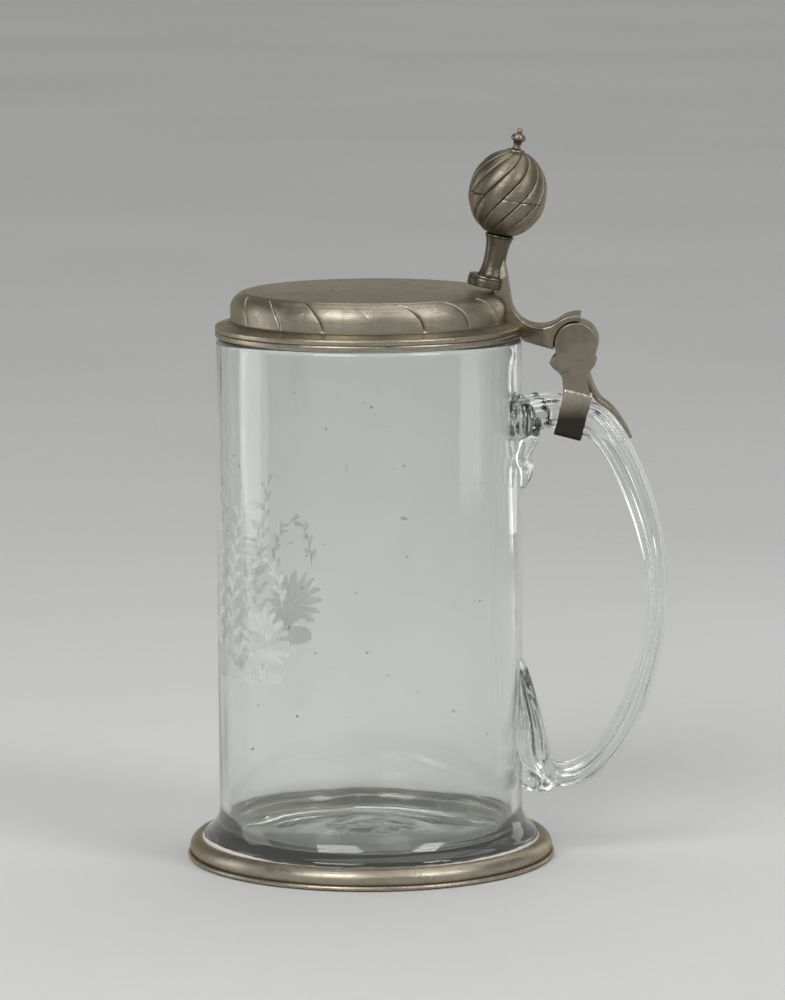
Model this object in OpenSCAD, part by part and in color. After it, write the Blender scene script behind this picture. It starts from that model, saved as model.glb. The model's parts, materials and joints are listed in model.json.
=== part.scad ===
// Lidded glass tankard: a blown glass cylinder with a glass handle stands in a pewter foot ring,
// and a hinged pewter lid with a ball-shaped thumbpiece covers it.
// +X points to the handle and +Z up. The origin is the middle of the foot ring's underside.

/* [Glass cylinder] */
// Outer diameter of the glass
glass_d = 100; // [90:1:120]
// Height of the glass from its heel to its rim
glass_h = 170.9; // [150:0.1:200]
// Thickness of the glass wall
glass_wall = 3; // [2:0.1:4.5]
// Thickness of the base
base_thick = 5; // [3:0.5:8]
// How far the middle of the base is pushed up
kick_h = 5; // [2:0.5:8]
// Width of the ring that the glass stands on
heel_w = 9; // [6:0.5:13]
// Radius of the glass's outer heel
heel_r = 3; // [1:0.5:5]
// How far the foot of the glass flares out past its wall
flare_out = 5; // [3:0.1:8]
// Radius of the flare's rounded edge
flare_edge_r = 1.6; // [0.8:0.1:2.4]
// Height of that edge's middle above the foot ring
flare_lift = 0.3; // [0.1:0.1:2]
// Radius of the corner between wall and base inside
base_corner_r = 6; // [3:0.5:10]

/* [Foot ring] */
// How far the foot ring stands out past the flared foot of the glass
foot_flare = 5.6; // [4.5:0.1:12]
// Height of the foot ring at the glass
foot_h = 6.6; // [5.5:0.1:12]
// Thickness of the rounded lip at the foot ring's edge
foot_lip = 1.5; // [1:0.1:3]
// How far the foot ring's moulding swells out past the groove above its lip
foot_swell = 1; // [0:0.1:1.4]
// Width of the ledge that carries the glass
foot_ledge = 9; // [6:0.5:13]
// Thickness of that ledge
foot_ledge_t = 1.2; // [0.8:0.1:2.5]
// Thickness of the plaster between foot ring and glass
plaster_t = 0.8; // [0.5:0.1:1.5]
// How far the plaster stands up past the foot ring
plaster_proud = 0.2; // [0:0.1:0.6]

/* [Lid] */
// Gap between the glass's rim and the lid
rim_gap = 0.3; // [0.2:0.05:0.6]
// How far the flange stands out past the glass
flange_out = 0.3; // [0.1:0.1:2]
// Height of the flange's band
flange_h = 3.6; // [2.6:0.1:6]
// Width of the sloping ledge on the flange
flange_ledge = 5.1; // [3:0.1:8]
// Rise of that ledge from its edge to the dome
flange_rise = 1.2; // [0.4:0.1:2.5]
// Height of the dome above the ledge
dome_h = 9.8; // [7:0.1:16]
// Radius of the dome's shoulder
shoulder_r = 6; // [4:0.5:7]
// Rise of the lid's top from its shoulder to its middle
crown_h = 0.7; // [0:0.1:4]
// Thickness of the lid
lid_wall = 1.6; // [1.2:0.1:2.2]

/* [Handle] */
// Distance from the lid down to the middle of the handle's upper root
handle_drop = 25.6; // [23:0.1:32]
// Height of the handle's lowest run
handle_foot_z = 27; // [22:0.5:45]
// Height at which the handle is widest
handle_belly_z = 88; // [75:1:100]
// Distance from the glass to the middle of the handle where it is widest
handle_reach = 44.5; // [38:0.5:60]
// Thickness of the handle where it is widest
handle_t = 6.7; // [5:0.1:9]
// Width of the handle
handle_w = 13.4; // [11:0.1:15]
// Thickness of the handle at its upper root
root_t = 11.8; // [9:0.1:13]
// Width of the handle where it is pressed on the glass
press_w = 26; // [20:0.5:30]
// Depth of the grooves between the handle's reeds
reed_depth = 0.5; // [0.2:0.1:1]
// Length of the trail that runs up the glass from the lower root
trail_len = 36; // [24:1:45]
// Length of the drip under the upper root
drip_len = 22.5; // [16:0.5:30]

/* [Strap and bracket] */
// Distance from the glass to the middle of the strap
strap_reach = 16.8; // [14:0.1:20]
// Width of the strap along the handle
strap_len = 9; // [6:0.5:11]
// Thickness of the strap
strap_t = 0.9; // [0.6:0.1:1.4]
// Gap between strap and handle
strap_gap = 0.25; // [0.15:0.05:0.4]
// Fall of the handle inside the strap, in degrees
strap_fall = 14; // [8:1:18]
// Share of the bend below the strap that the bracket's tail covers
tail_share = 0.31; // [0.2:0.01:0.45]
// Thickness of the tail at its tip
tail_t = 0.8; // [0.5:0.1:1.5]
// Width of the tail where it leaves the bracket
tail_w = 11; // [6:0.5:13]

/* [Hinge] */
// Distance from the glass to the hinge pin
hinge_reach = 18; // [16:0.1:22]
// Distance of the hinge pin below the lid's underside
hinge_drop = 1.9; // [1:0.1:3]
// Diameter of the hinge leaves
leaf_d = 14; // [11:0.1:15]
// Width of the five leaves together
hinge_w = 16; // [14:0.5:20]
// Thickness of each outer leaf
cheek_t = 2.6; // [2:0.1:3.5]
// Thickness of the middle leaf
middle_t = 3.2; // [2.5:0.1:4.5]
// Gap between neighbouring leaves
leaf_gap = 0.15; // [0.1:0.05:0.3]
// Gap round each leaf
leaf_clear = 0.35; // [0.3:0.05:0.6]
// Diameter of the hinge pin
pin_d = 3; // [2:0.1:4]
// Clearance round the pin in the lid's leaves
pin_clear = 0.05; // [0.02:0.01:0.1]
// Clearance round the pin in the bracket's leaves
pin_seat = 0.01; // [0.01:0.01:0.02]
// Metal that closes the front end of the pin's bore
pin_cover = 0.9; // [0.5:0.1:1.4]
// Thickness of the horn that stops the open lid
horn_t = 2.1; // [1.5:0.05:3]
// Radius of the saddle in the top of the arm
saddle_r = 9.8; // [7:0.1:11]
// Width of the arm where it meets the lid
arm_w = 9; // [7:0.5:11]

/* [Thumbpiece] */
// Distance from the hinge pin back to the foot of the thumbpiece
thumb_back = 28.5; // [27:0.1:33]
// Height of the thumbpiece's foot above the lid's shoulder
thumb_lift = 1.2; // [1:0.1:3]
// Lean of the thumbpiece towards the handle, in degrees
thumb_lean = 11; // [6:1:15]
// Diameter of the disc at its foot
collar_d = 12.6; // [11:0.1:15]
// How far that disc sits off the stem's axis, towards the middle of the lid
collar_off = 1.2; // [0:0.1:2]
// Thickness of that disc
collar_t = 3.7; // [2.5:0.1:5]
// Length of the stem
stem_len = 14.1; // [11:0.1:20]
// Diameter of the stem at its waist
stem_d = 7.2; // [6:0.1:8.4]
// Diameter of the stem under the ball
stem_top_d = 9.6; // [8.8:0.1:12]
// Diameter of the ball
ball_d = 25.5; // [20:0.5:32]
// Length of the ball along its axis
ball_len = 28.7; // [22:0.1:36]
// Distance of the ball's seam below its middle
ball_seam = 1.3; // [0:0.1:3]
// Thickness of the ball's shell
ball_wall = 1.5; // [1:0.1:2.5]
// Number of gadroons round the ball
gadroons = 12; // [8:1:16]
// Depth of the grooves between the gadroons
gadroon_depth = 0.6; // [0.2:0.05:1]
// Turn of the gadroons from one pole to the other, in degrees
gadroon_turn = 150; // [0:5:200]
// Height of the finial above the ball
finial_h = 7.6; // [5:0.1:12]
// Diameter of the finial's knob
finial_d = 4.9; // [3.5:0.1:7]
// Diameter of the finial's foot
finial_foot_d = 5.8; // [4:0.1:8]

/* [Hidden] */
$fn = 96;
arc_steps = 8;
over = 1;
pewter = [0.46, 0.44, 0.40];
dark_pewter = [0.36, 0.34, 0.31];
steel = [0.50, 0.50, 0.52];
plaster_white = [0.80, 0.78, 0.72];
clear_glass = [0.78, 0.84, 0.80, 0.45];

// Heights and radii of the glass and of what stands round it
glass_r = glass_d / 2;
inner_r = glass_r - glass_wall;
heel_z = foot_ledge_t;
rim_z = heel_z + glass_h;
flare_r = glass_r + flare_out;
kick_r = flare_r - heel_r - heel_w;
foot_bore_r = flare_r + plaster_t;
foot_r = flare_r + foot_flare;
flare_edge = [flare_r - flare_edge_r, foot_h + flare_lift];

// Levels of the lid
lid_z = rim_z + rim_gap;
flange_r = glass_r + flange_out;
flange_top = lid_z + flange_h;
dome_r = flange_r - flange_ledge;
dome_z = flange_top + flange_rise;
top_z = dome_z + dome_h;
groove_d = 0.3;
edge_r = 0.5;

// Hinge axis, in the plane of the handle
hinge = [glass_r + hinge_reach, lid_z - hinge_drop];
leaf_r = leaf_d / 2;
slot_r = leaf_r + leaf_clear;
pin_r = pin_d / 2;
cheek_in = hinge_w / 2 - cheek_t;
arm_leaf_out = cheek_in - leaf_gap;
arm_leaf_in = middle_t / 2 + leaf_gap;
arm_leaf_mid = (arm_leaf_out + arm_leaf_in) / 2;
arm_leaf_t = arm_leaf_out - arm_leaf_in;
pin_front = hinge_w / 2 - pin_cover;
horn_r = slot_r + horn_t;

// Foot of the thumbpiece, and the places of its pieces along its axis
thumb_foot = [hinge[0] - thumb_back, top_z + thumb_lift];
stem_z = collar_t;
stem_edge = 0.25;
ball_seat_r = stem_top_d / 2 - stem_edge;
ball_seat = ball_len / 2 * sqrt(1 - pow(2 * ball_seat_r / ball_d, 2));
ball_crown = ball_len / 2 * sqrt(1 - pow(finial_foot_d / ball_d, 2));
ball_z = stem_z + stem_len + ball_seat;
finial_z = ball_z + ball_crown;

// Strap: its middle, the direction of the handle inside it, and its outer size
strap_sink = 0.2;
strap_free = 1;
root_z = lid_z - handle_drop;
strap_mid = [glass_r + strap_reach, root_z - strap_sink];
strap_dir = [cos(strap_fall), -sin(strap_fall)];
strap_up = [sin(strap_fall), cos(strap_fall)];
strap_in_t = root_t + 2 * strap_gap;
strap_in_w = handle_w + 2 * strap_gap;
strap_out_t = strap_in_t + 2 * strap_t;
strap_out_w = strap_in_w + 2 * strap_t;
strap_corner = 4;

// Turning points of the handle's middle line, in the plane of the handle
root_depth = 5;
low_run_out = 13;
turn_out = 3;
turn_rise = 13;
trail_sink = 0.6;
drip_sink = 1.6;
strap_start = strap_mid - strap_dir * (strap_len / 2 + strap_free);
strap_end = strap_mid + strap_dir * (strap_len / 2 + strap_free);
belly = [glass_r + handle_reach, handle_belly_z];
low_run = [glass_r + low_run_out, handle_foot_z];
wall_turn = [glass_r + turn_out, handle_foot_z + turn_rise];
trail_tip = [glass_r - trail_sink, handle_foot_z + trail_len];
drip_top = [glass_r + 1, root_z - 1];
drip_tip = [glass_r - drip_sink, root_z - drip_len];

// Legs between them, each a Bezier curve given by its ends and by how far each end pulls on it
function pulled(a, pull_a, pull_b, b) = [a, a + pull_a, b + pull_b, b];
root_leg = pulled([glass_r - root_depth, root_z], [root_depth + 2, 0], -4 * strap_dir, strap_start);
strap_leg = pulled(strap_start, 3 * strap_dir, -3 * strap_dir, strap_end);
upper_leg = pulled(strap_end, 8 * strap_dir, [0, 25], belly);
lower_leg = pulled(belly, [0, -24], [18, 0], low_run);
turn_leg = pulled(low_run, [-6.5, 0], [0, -7], wall_turn);
trail_leg = pulled(wall_turn, [0, 7], [1.2, -8], trail_tip);
drip_leg = pulled(drip_top, [0.5, -7], [1.5, 8], drip_tip);
fuse_gap = 0.02;
reeds = 8;
section_sides = 32;

// Points of an arc round c, from angle a0 to a1
function arc(c, r, a0, a1, steps = arc_steps) =
    [for (i = [0:steps]) let (a = a0 + (a1 - a0) * i / steps) c + r * [cos(a), sin(a)]];

function mix(a, b, t) = a + (b - a) * t;
function reversed(list) = [for (i = [len(list) - 1:-1:0]) list[i]];

// Point of a Bezier curve with four control points, and its unit tangent
function bezier(p, t) = pow(1 - t, 3) * p[0] + 3 * t * pow(1 - t, 2) * p[1]
    + 3 * t * t * (1 - t) * p[2] + pow(t, 3) * p[3];
function bezier_dir(p, t) = let (d = pow(1 - t, 2) * (p[1] - p[0]) + 2 * t * (1 - t) * (p[2] - p[1])
    + t * t * (p[3] - p[2])) d / norm(d);
function left_of(d) = [-d[1], d[0]];

// Stations along one leg: middle, side normal, and [sideways place, thickness, width]
function leg(p, from, to, steps) = [for (i = [0:steps - 1]) let (t = i / steps)
    [bezier(p, t), left_of(bezier_dir(p, t)), mix(from, to, t)]];
function leg_end(p, size) = [[bezier(p, 1), left_of(bezier_dir(p, 1)), size]];

// Rounded strip section with shallow grooves between its reeds, at one station
function squared(v) = sign(v) * pow(abs(v), 0.78);
function section(station, sides, groove) = [for (k = [0:sides - 1]) let (
        a = 360 * k / sides,
        cut = 1 - groove / station[2][1] * (1 - cos(reeds * a)),
        out = squared(cos(a)) * station[2][1] / 2 * cut,
        side = station[2][0] + squared(sin(a)) * station[2][2] / 2 * cut)
    [station[0][0] + station[1][0] * out, side, station[0][1] + station[1][1] * out]];

// Radius and point of the ball: an ellipsoid whose gadroons turn with height
function ball_at(z, k, sides, inset, depth) = let (
        lat = asin(z / (ball_len / 2 - inset)),
        across = 2 * ((k * gadroons / sides) % 1) - 1,
        lobe = depth * (1 - pow(1 - across * across, 0.6)) * sqrt(cos(lat)),
        r = (ball_d / 2 - inset) * cos(lat) - lobe,
        a = 360 * k / sides + gadroon_turn / 180 * lat)
    [r * cos(a), r * sin(a), z];
function ball_ring(z, inset, depth) = let (sides = 6 * gadroons)
    [for (k = [0:sides - 1]) ball_at(z, k, sides, inset, depth)];

// Place of a point given across and along the thumbpiece's axis, in the plane of the handle
function by_thumb(across, along) = thumb_foot + across * [cos(thumb_lean), -sin(thumb_lean)]
    + along * [sin(thumb_lean), cos(thumb_lean)];

// Closed skin over a row of rings that have equally many points
module skin(rings) {
    n = len(rings[0]);
    last = len(rings) - 1;
    points = [for (r = rings) each r];
    walls = [for (i = [0:last - 1], k = [0:n - 1]) let (a = i * n + k, b = i * n + (k + 1) % n)
        each [[a, b, b + n], [a, b + n, a + n]]];
    first_cap = [for (k = [n - 1:-1:0]) k];
    last_cap = [for (k = [0:n - 1]) last * n + k];
    polyhedron(points, concat(walls, [first_cap, last_cap]));
}

// Plate with an outline in the plane of the handle, w wide across it
module plate(outline, w, y = 0) {
    translate([0, y + w / 2, 0]) rotate([90, 0, 0]) linear_extrude(w) polygon(outline);
}

// Round bar across the plane of the handle, with its axis on the hinge
module hinge_bar(r, w, y = 0) {
    translate([hinge[0], y + w / 2, hinge[1]]) rotate([90, 0, 0]) cylinder(r = r, h = w);
}

module on_thumb_axis() {
    translate([thumb_foot[0], 0, thumb_foot[1]]) rotate([0, thumb_lean, 0]) children();
}

module rounded_bar(t, w, r, length) {
    rotate([0, 90, 0]) translate([0, 0, -length / 2]) linear_extrude(length) {
        square([t - 2 * r, w], center = true);
        square([t, w - 2 * r], center = true);
        for (x = [-1, 1], y = [-1, 1]) translate([x * (t / 2 - r), y * (w / 2 - r)]) circle(r);
    }
}

module at_strap() {
    translate([strap_mid[0], 0, strap_mid[1]]) rotate([0, strap_fall, 0]) children();
}

module strap_outside() {
    at_strap() rounded_bar(strap_out_t, strap_out_w, strap_corner + strap_t, strap_len);
}

// Base of the glass, pushed up in the middle by the height of the kick
function base_rise(r) = kick_h * (0.5 + 0.5 * cos(180 * min(1, r / kick_r)));
function base_line(z) = [for (i = [0:arc_steps]) let (r = kick_r * i / arc_steps) [r, z + base_rise(r)]];

// The wall bends out into the flare until it is this steep, and the flare's edge rolls over from there
module glass_body() {
    lip = glass_wall / 2;
    floor_z = heel_z + base_thick;
    turn = 55;
    bend_r = flare_out / (1 - cos(turn)) - flare_edge_r;
    bend = flare_edge + (flare_edge_r + bend_r) * [cos(turn), sin(turn)];
    color(clear_glass) rotate_extrude() polygon(concat(
        base_line(heel_z),
        arc([flare_r - heel_r, heel_z + heel_r], heel_r, -90, 0),
        arc(flare_edge, flare_edge_r, 0, turn),
        arc(bend, bend_r, 180 + turn, 180),
        arc([glass_r - lip, rim_z - lip], lip, 0, 180),
        arc([inner_r - base_corner_r, floor_z + base_corner_r], base_corner_r, 0, -80),
        reversed([for (p = base_line(floor_z)) if (p[0] < inner_r - base_corner_r - over) p])));
}

// Sections along the handle are given as [sideways place, thickness, width]
module glass_handle() {
    root = [-3.5, root_t + 1.4, press_w];
    strapped = [0, root_t, handle_w];
    free = [0, handle_t, handle_w];
    low = [0, handle_t + 1.8, handle_w];
    pressed = [-3, handle_t + 3.3, 0.75 * press_w];
    trail = [-3, 2.4, 4];
    drip_root = [-8, 8, 11];
    drip = [-13, 4, 4];
    color(clear_glass) resize([0, 0, 0]) difference() {
        union() {
            skin([for (s = concat(leg(root_leg, root, strapped, 8), leg(strap_leg, strapped, strapped, 3),
                                  leg(upper_leg, strapped, free, 16), leg(lower_leg, free, low, 16),
                                  leg(turn_leg, low, pressed, 8), leg(trail_leg, pressed, trail, 6),
                                  leg_end(trail_leg, trail))) section(s, section_sides, reed_depth)]);
            skin([for (s = concat(leg(drip_leg, drip_root, drip, 8), leg_end(drip_leg, drip)))
                section(s, 12, 0)]);
        }
        cylinder(r = glass_r + fuse_gap, h = rim_z, $fn = 240);
    }
}

module foot_ring() {
    lip_r = foot_lip / 2;
    groove = [foot_r - 0.6 * foot_lip, foot_lip];
    rise = foot_h - foot_lip;
    crest = [[foot_bore_r, foot_h], [mix(foot_bore_r, groove[0], 0.75), foot_h + 0.1 * rise],
             groove + [foot_swell, 0.45 * rise], groove];
    color(pewter) rotate_extrude() polygon(concat(
        [[flare_r - foot_ledge, 0], [foot_r - lip_r, 0]],
        arc([foot_r - lip_r, lip_r], lip_r, -80, 90),
        [for (i = [0:arc_steps]) bezier(crest, 1 - i / arc_steps)],
        [[foot_bore_r, foot_ledge_t], [flare_r - foot_ledge, foot_ledge_t]]));
}

module foot_plaster() {
    color(plaster_white) translate([0, 0, foot_ledge_t]) difference() {
        cylinder(r = foot_bore_r, h = foot_h - foot_ledge_t + plaster_proud);
        translate([0, 0, -over]) cylinder(r = flare_r, h = foot_h + 2 * over);
    }
}

module handle_strap() {
    color(dark_pewter) difference() {
        strap_outside();
        at_strap() rounded_bar(strap_in_t, strap_in_w, strap_corner, strap_len + 2 * over);
    }
}

// Side of the bracket: the round leaf, the neck with a thorn on each side, and its seat on the strap
module bracket_side() {
    seat = strap_in_t / 2 + strap_gap;
    left_foot = strap_mid - strap_dir * strap_len / 2 + strap_up * seat;
    right_foot = strap_mid + strap_dir * (strap_len / 2 + strap_gap) + strap_up * seat;
    left_edge = [for (p = [[-0.92, -0.39], [-0.95, -0.55], [-1.27, -0.86], [-1.05, -1.14], [-0.75, -1.36],
                           [-0.63, -1.56]]) hinge + leaf_r * p];
    right_edge = [for (p = [[0.52, -1.68], [0.64, -1.29], [0.95, -0.91], [0.80, -0.78], [0.94, -0.34]])
        hinge + leaf_r * p];
    translate([0, hinge_w / 2, 0]) rotate([90, 0, 0]) linear_extrude(hinge_w) {
        translate(hinge) circle(leaf_r);
        polygon(concat(left_edge, [left_foot, right_foot], right_edge));
    }
}

// Tail of the bracket: a leaf that lies along the handle's outer side and thins to its tip
module bracket_tail() {
    steps = 8;
    root_thick = strap_t + 1.2;
    under = [for (i = [0:steps]) let (t = tail_share * i / steps)
        bezier(upper_leg, t)
        + left_of(bezier_dir(upper_leg, t)) * (mix(root_t, handle_t, t) / 2 + strap_gap)];
    thick = [for (i = [0:steps]) mix(root_thick, tail_t, i / steps)];
    outer = [for (i = [0:steps]) under[i]
        + left_of(bezier_dir(upper_leg, tail_share * i / steps)) * thick[i]];
    start = strap_mid + strap_dir * (strap_len / 2 - 2);
    out = root_t / 2 + strap_gap;
    tip_x = under[steps][0] + over;
    intersection() {
        plate(concat([start + strap_up * out], under, reversed(outer),
                     [start + strap_up * (out + root_thick)]), hinge_w);
        linear_extrude(rim_z) polygon([[start[0] - over, -tail_w / 2], [tip_x, -tail_w / 6],
                                       [tip_x, tail_w / 6], [start[0] - over, tail_w / 2]]);
    }
}

module handle_bracket() {
    color(pewter) difference() {
        union() {
            bracket_side();
            bracket_tail();
        }
        strap_outside();
        for (side = [-1, 1])
            hinge_bar(slot_r, arm_leaf_t + 2 * leaf_gap, side * arm_leaf_mid);
        hinge_bar(pin_r + pin_seat, hinge_w, pin_cover);
    }
}

module hinge_pin() {
    color(steel) hinge_bar(pin_r, hinge_w / 2 + pin_front, (hinge_w / 2 - pin_front) / 2);
}

// Outline of the lid's upper side, from its middle out to the flange's lower edge
function shoulder(inset) = arc([dome_r - shoulder_r, top_z - shoulder_r], shoulder_r - inset, 90, 0);
function crown(inset) = [for (i = [0:arc_steps - 1]) let (u = i / arc_steps)
    [u * (dome_r - shoulder_r), top_z - inset + crown_h * (1 - u * u)]];
lid_outside = concat(crown(0), shoulder(0), [
    [dome_r, dome_z], [flange_r - edge_r, flange_top], [flange_r, flange_top - edge_r],
    [flange_r, lid_z + flange_h / 2 + groove_d], [flange_r - groove_d, lid_z + flange_h / 2],
    [flange_r, lid_z + flange_h / 2 - groove_d], [flange_r, lid_z + edge_r], [flange_r - edge_r, lid_z]]);

module lid() {
    color(pewter) rotate_extrude() polygon(concat(
        lid_outside, [[dome_r - lid_wall, lid_z]], reversed(concat(crown(lid_wall), shoulder(lid_wall)))));
}

// Side of the arm: the strip behind the stem, the saddle, the horn over the hinge, and the lower edge
function arm_outline() = let (
        bend = 127.6,
        drop = 1.4,
        strip_t = 1.4,
        saddle = hinge + (saddle_r + horn_r) * [cos(bend), sin(bend)])
    concat([by_thumb(0, stem_z + 0.5 * stem_len), by_thumb(stem_d / 2, stem_z + 0.5 * stem_len),
            by_thumb(stem_d / 2 + strip_t, stem_z + strip_t)],
           arc(saddle, saddle_r, 195, bend + 180, 12),
           arc(hinge, horn_r, bend - 5, 83),
           [hinge + [0.18 * leaf_r, slot_r], hinge, hinge - [slot_r, 0.26 * leaf_r],
            [flange_r + edge_r, lid_z - drop], [dome_r - lid_wall, lid_z - drop],
            [thumb_foot[0] + 2, top_z]]);

module arm_plan() {
    waist_x = flange_r;
    wide_x = hinge[0] - slot_r - 1;
    end_x = hinge[0] + horn_r;
    start_x = thumb_foot[0] - over;
    edge = [[start_x, -stem_d / 2], [dome_r + over, edge_r - arm_w / 2], [waist_x, -arm_w / 2],
            [wide_x, -hinge_w / 2], [end_x, -hinge_w / 2]];
    linear_extrude(thumb_foot[1] + ball_z)
        polygon(concat(edge, reversed([for (p = edge) [p[0], -p[1]]])));
}

module lid_hinge_arm() {
    side_cut = cheek_t + leaf_gap + over;
    color(pewter) difference() {
        union() {
            intersection() {
                plate(arm_outline(), hinge_w);
                arm_plan();
            }
            for (side = [-1, 1])
                hinge_bar(leaf_r, arm_leaf_t, side * arm_leaf_mid);
        }
        for (side = [-1, 1])
            hinge_bar(slot_r, side_cut, side * (arm_leaf_out + side_cut / 2));
        hinge_bar(slot_r, middle_t + 2 * leaf_gap);
        hinge_bar(pin_r + pin_clear, hinge_w);
        rotate_extrude() polygon(concat(lid_outside, [[0, lid_z]]));
        cylinder(r = flange_r, h = lid_z);
        on_thumb_axis() {
            collar_shape();
            stem_shape();
        }
    }
}

module collar_shape() {
    r = collar_d / 2;
    translate([-collar_off, 0, 0])
        rotate_extrude() polygon([[0, 0], [r - edge_r, 0], [r, edge_r], [r, collar_t - edge_r],
                                  [r - edge_r, collar_t], [0, collar_t]]);
}

module thumb_collar() {
    color(pewter) on_thumb_axis() collar_shape();
}

module stem_shape() {
    waist = stem_d / 2;
    foot = waist + 1.1;
    head = stem_top_d / 2;
    rim = 0.8;
    lower = [[foot, 0], [waist + 0.4, 0.15 * stem_len], [waist, 0.25 * stem_len], [waist, 0.45 * stem_len]];
    upper = [[waist, 0.45 * stem_len], [waist, 0.7 * stem_len], [head - 0.8, 0.8 * stem_len],
             [head - 0.4, stem_len - rim - 0.5]];
    translate([0, 0, stem_z]) rotate_extrude() polygon(concat(
        [[0, 0]],
        [for (i = [0:arc_steps]) bezier(lower, i / arc_steps)],
        [for (i = [1:arc_steps]) bezier(upper, i / arc_steps)],
        [[head, stem_len - rim], [head, stem_len - stem_edge], [head - stem_edge, stem_len],
         [0, stem_len]]));
}

module thumb_stem() {
    color(pewter) on_thumb_axis() stem_shape();
}

// One half of the ball as a hollow cup: from the inner pole out to the rim and on to the outer pole
module ball_half(up) {
    steps = 10;
    pole = up ? ball_crown : -ball_seat;
    inner_pole = up ? ball_crown - ball_wall : ball_wall - ball_seat;
    inner = [for (i = [0:5]) ball_ring(mix(inner_pole, -ball_seam, 1 - cos(90 * i / 5)), ball_wall, 0)];
    outer = [for (i = [0:steps]) ball_ring(mix(-ball_seam, pole, sin(90 * i / steps)), 0, gadroon_depth)];
    rings = concat(inner, outer);
    translate([0, 0, ball_z]) skin(up ? rings : [for (r = rings) reversed(r)]);
}

module ball_lower_half() {
    color(pewter) on_thumb_axis() ball_half(false);
}

module ball_upper_half() {
    color(pewter) on_thumb_axis() ball_half(true);
}

module finial_knob() {
    foot = finial_foot_d / 2;
    knob = finial_d / 2;
    bead = 0.36 * knob;
    neck = 0.5 * knob;
    knob_z = finial_h - 2 * bead - 0.6 * knob;
    color(pewter) on_thumb_axis() translate([0, 0, finial_z]) rotate_extrude() polygon(concat(
        [[0, 0], [foot, 0], [foot, 0.4]],
        [for (i = [1:arc_steps]) bezier([[foot, 0.4], [neck, 0.5], [neck, 1.2], [neck, 2]], i / arc_steps)],
        [for (a = [-60:20:60]) [knob * cos(a), knob_z + 0.7 * knob * sin(a)]],
        arc([0, finial_h - bead], bead, -40, 90)));
}

glass_body();
glass_handle();
foot_ring();
foot_plaster();
handle_strap();
handle_bracket();
hinge_pin();
lid();
lid_hinge_arm();
thumb_collar();
thumb_stem();
ball_lower_half();
ball_upper_half();
finial_knob();
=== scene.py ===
"""Looks of a lidded glass tankard: blown glass with a reeded handle, pewter foot ring, hinged pewter lid."""

import json

import bmesh
import bpy
import numpy as np
from mathutils import Matrix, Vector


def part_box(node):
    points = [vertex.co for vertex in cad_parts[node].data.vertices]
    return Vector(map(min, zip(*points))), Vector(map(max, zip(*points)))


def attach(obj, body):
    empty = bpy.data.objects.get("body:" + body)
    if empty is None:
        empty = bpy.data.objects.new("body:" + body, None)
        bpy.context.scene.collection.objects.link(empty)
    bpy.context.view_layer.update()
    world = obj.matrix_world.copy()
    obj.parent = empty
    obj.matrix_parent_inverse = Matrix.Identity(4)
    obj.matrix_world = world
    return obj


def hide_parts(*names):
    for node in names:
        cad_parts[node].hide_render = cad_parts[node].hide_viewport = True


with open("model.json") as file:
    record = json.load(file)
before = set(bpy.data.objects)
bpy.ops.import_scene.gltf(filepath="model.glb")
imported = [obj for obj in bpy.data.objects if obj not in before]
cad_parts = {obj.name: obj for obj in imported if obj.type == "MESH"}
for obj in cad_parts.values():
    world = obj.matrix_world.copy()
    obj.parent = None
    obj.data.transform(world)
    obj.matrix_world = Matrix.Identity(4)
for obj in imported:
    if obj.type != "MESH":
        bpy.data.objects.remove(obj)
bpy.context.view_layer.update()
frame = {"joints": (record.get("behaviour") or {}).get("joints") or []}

# Foot ring
# A turned pewter ring round the flared foot of the glass: a half-round bead above a thin rolled lip.
# It was cast, turned on a lathe and set on the glass in plaster, so fine tool lines run round it.
MM = 0.001


def span(node):
    """Lowest and highest corner of a CAD node at rest, in millimetres."""
    low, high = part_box(node)
    return np.array(low) / MM, np.array(high) / MM


def arc(middle, radius, start, end, count):
    """Points of a circle: middle plus radius times cosine and sine, from start to end in degrees."""
    a = np.radians(np.linspace(start, end, count))
    return np.column_stack([middle[0] + radius * np.cos(a), middle[1] + radius * np.sin(a)])


def bezier(points, count):
    """Cubic Bezier curve: four control points weighted with the Bernstein polynomials of 0 to 1."""
    p = np.asarray(points, float)
    t = np.linspace(0, 1, count)[:, None]
    return (1 - t) ** 3 * p[0] + 3 * t * (1 - t) ** 2 * p[1] + 3 * t * t * (1 - t) * p[2] + t ** 3 * p[3]


def spaced(line, step):
    """Points at even distances along a line: its running length cut into equal steps of about this size."""
    line = np.asarray(line, float)
    lengths = np.linalg.norm(np.diff(line, axis=0), axis=1)
    line = line[np.append(True, lengths > 1e-6)]
    run = np.append(0, np.cumsum(lengths[lengths > 1e-6]))
    at = np.linspace(0, run[-1], max(3, int(round(run[-1] / step)) + 1))
    return np.column_stack([np.interp(at, run, line[:, k]) for k in range(line.shape[1])])


def around(r, turn, z):
    """Points by their distance from the Z axis, angle round it and height: r cos turn, r sin turn, z."""
    return np.stack(np.broadcast_arrays(r * np.cos(turn), r * np.sin(turn), z), axis=-1)


def turned(profile, sides):
    """Surface of revolution: each profile point (r, z) becomes a ring of even steps round the Z axis."""
    return around(profile[:, :1], 2 * np.pi * np.arange(sides) / sides, profile[:, 1:])


def length_of(v):
    """Length of each vector, at least a hair, so that it can divide."""
    return np.maximum(np.linalg.norm(v, axis=-1, keepdims=True), 1e-9)


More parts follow.
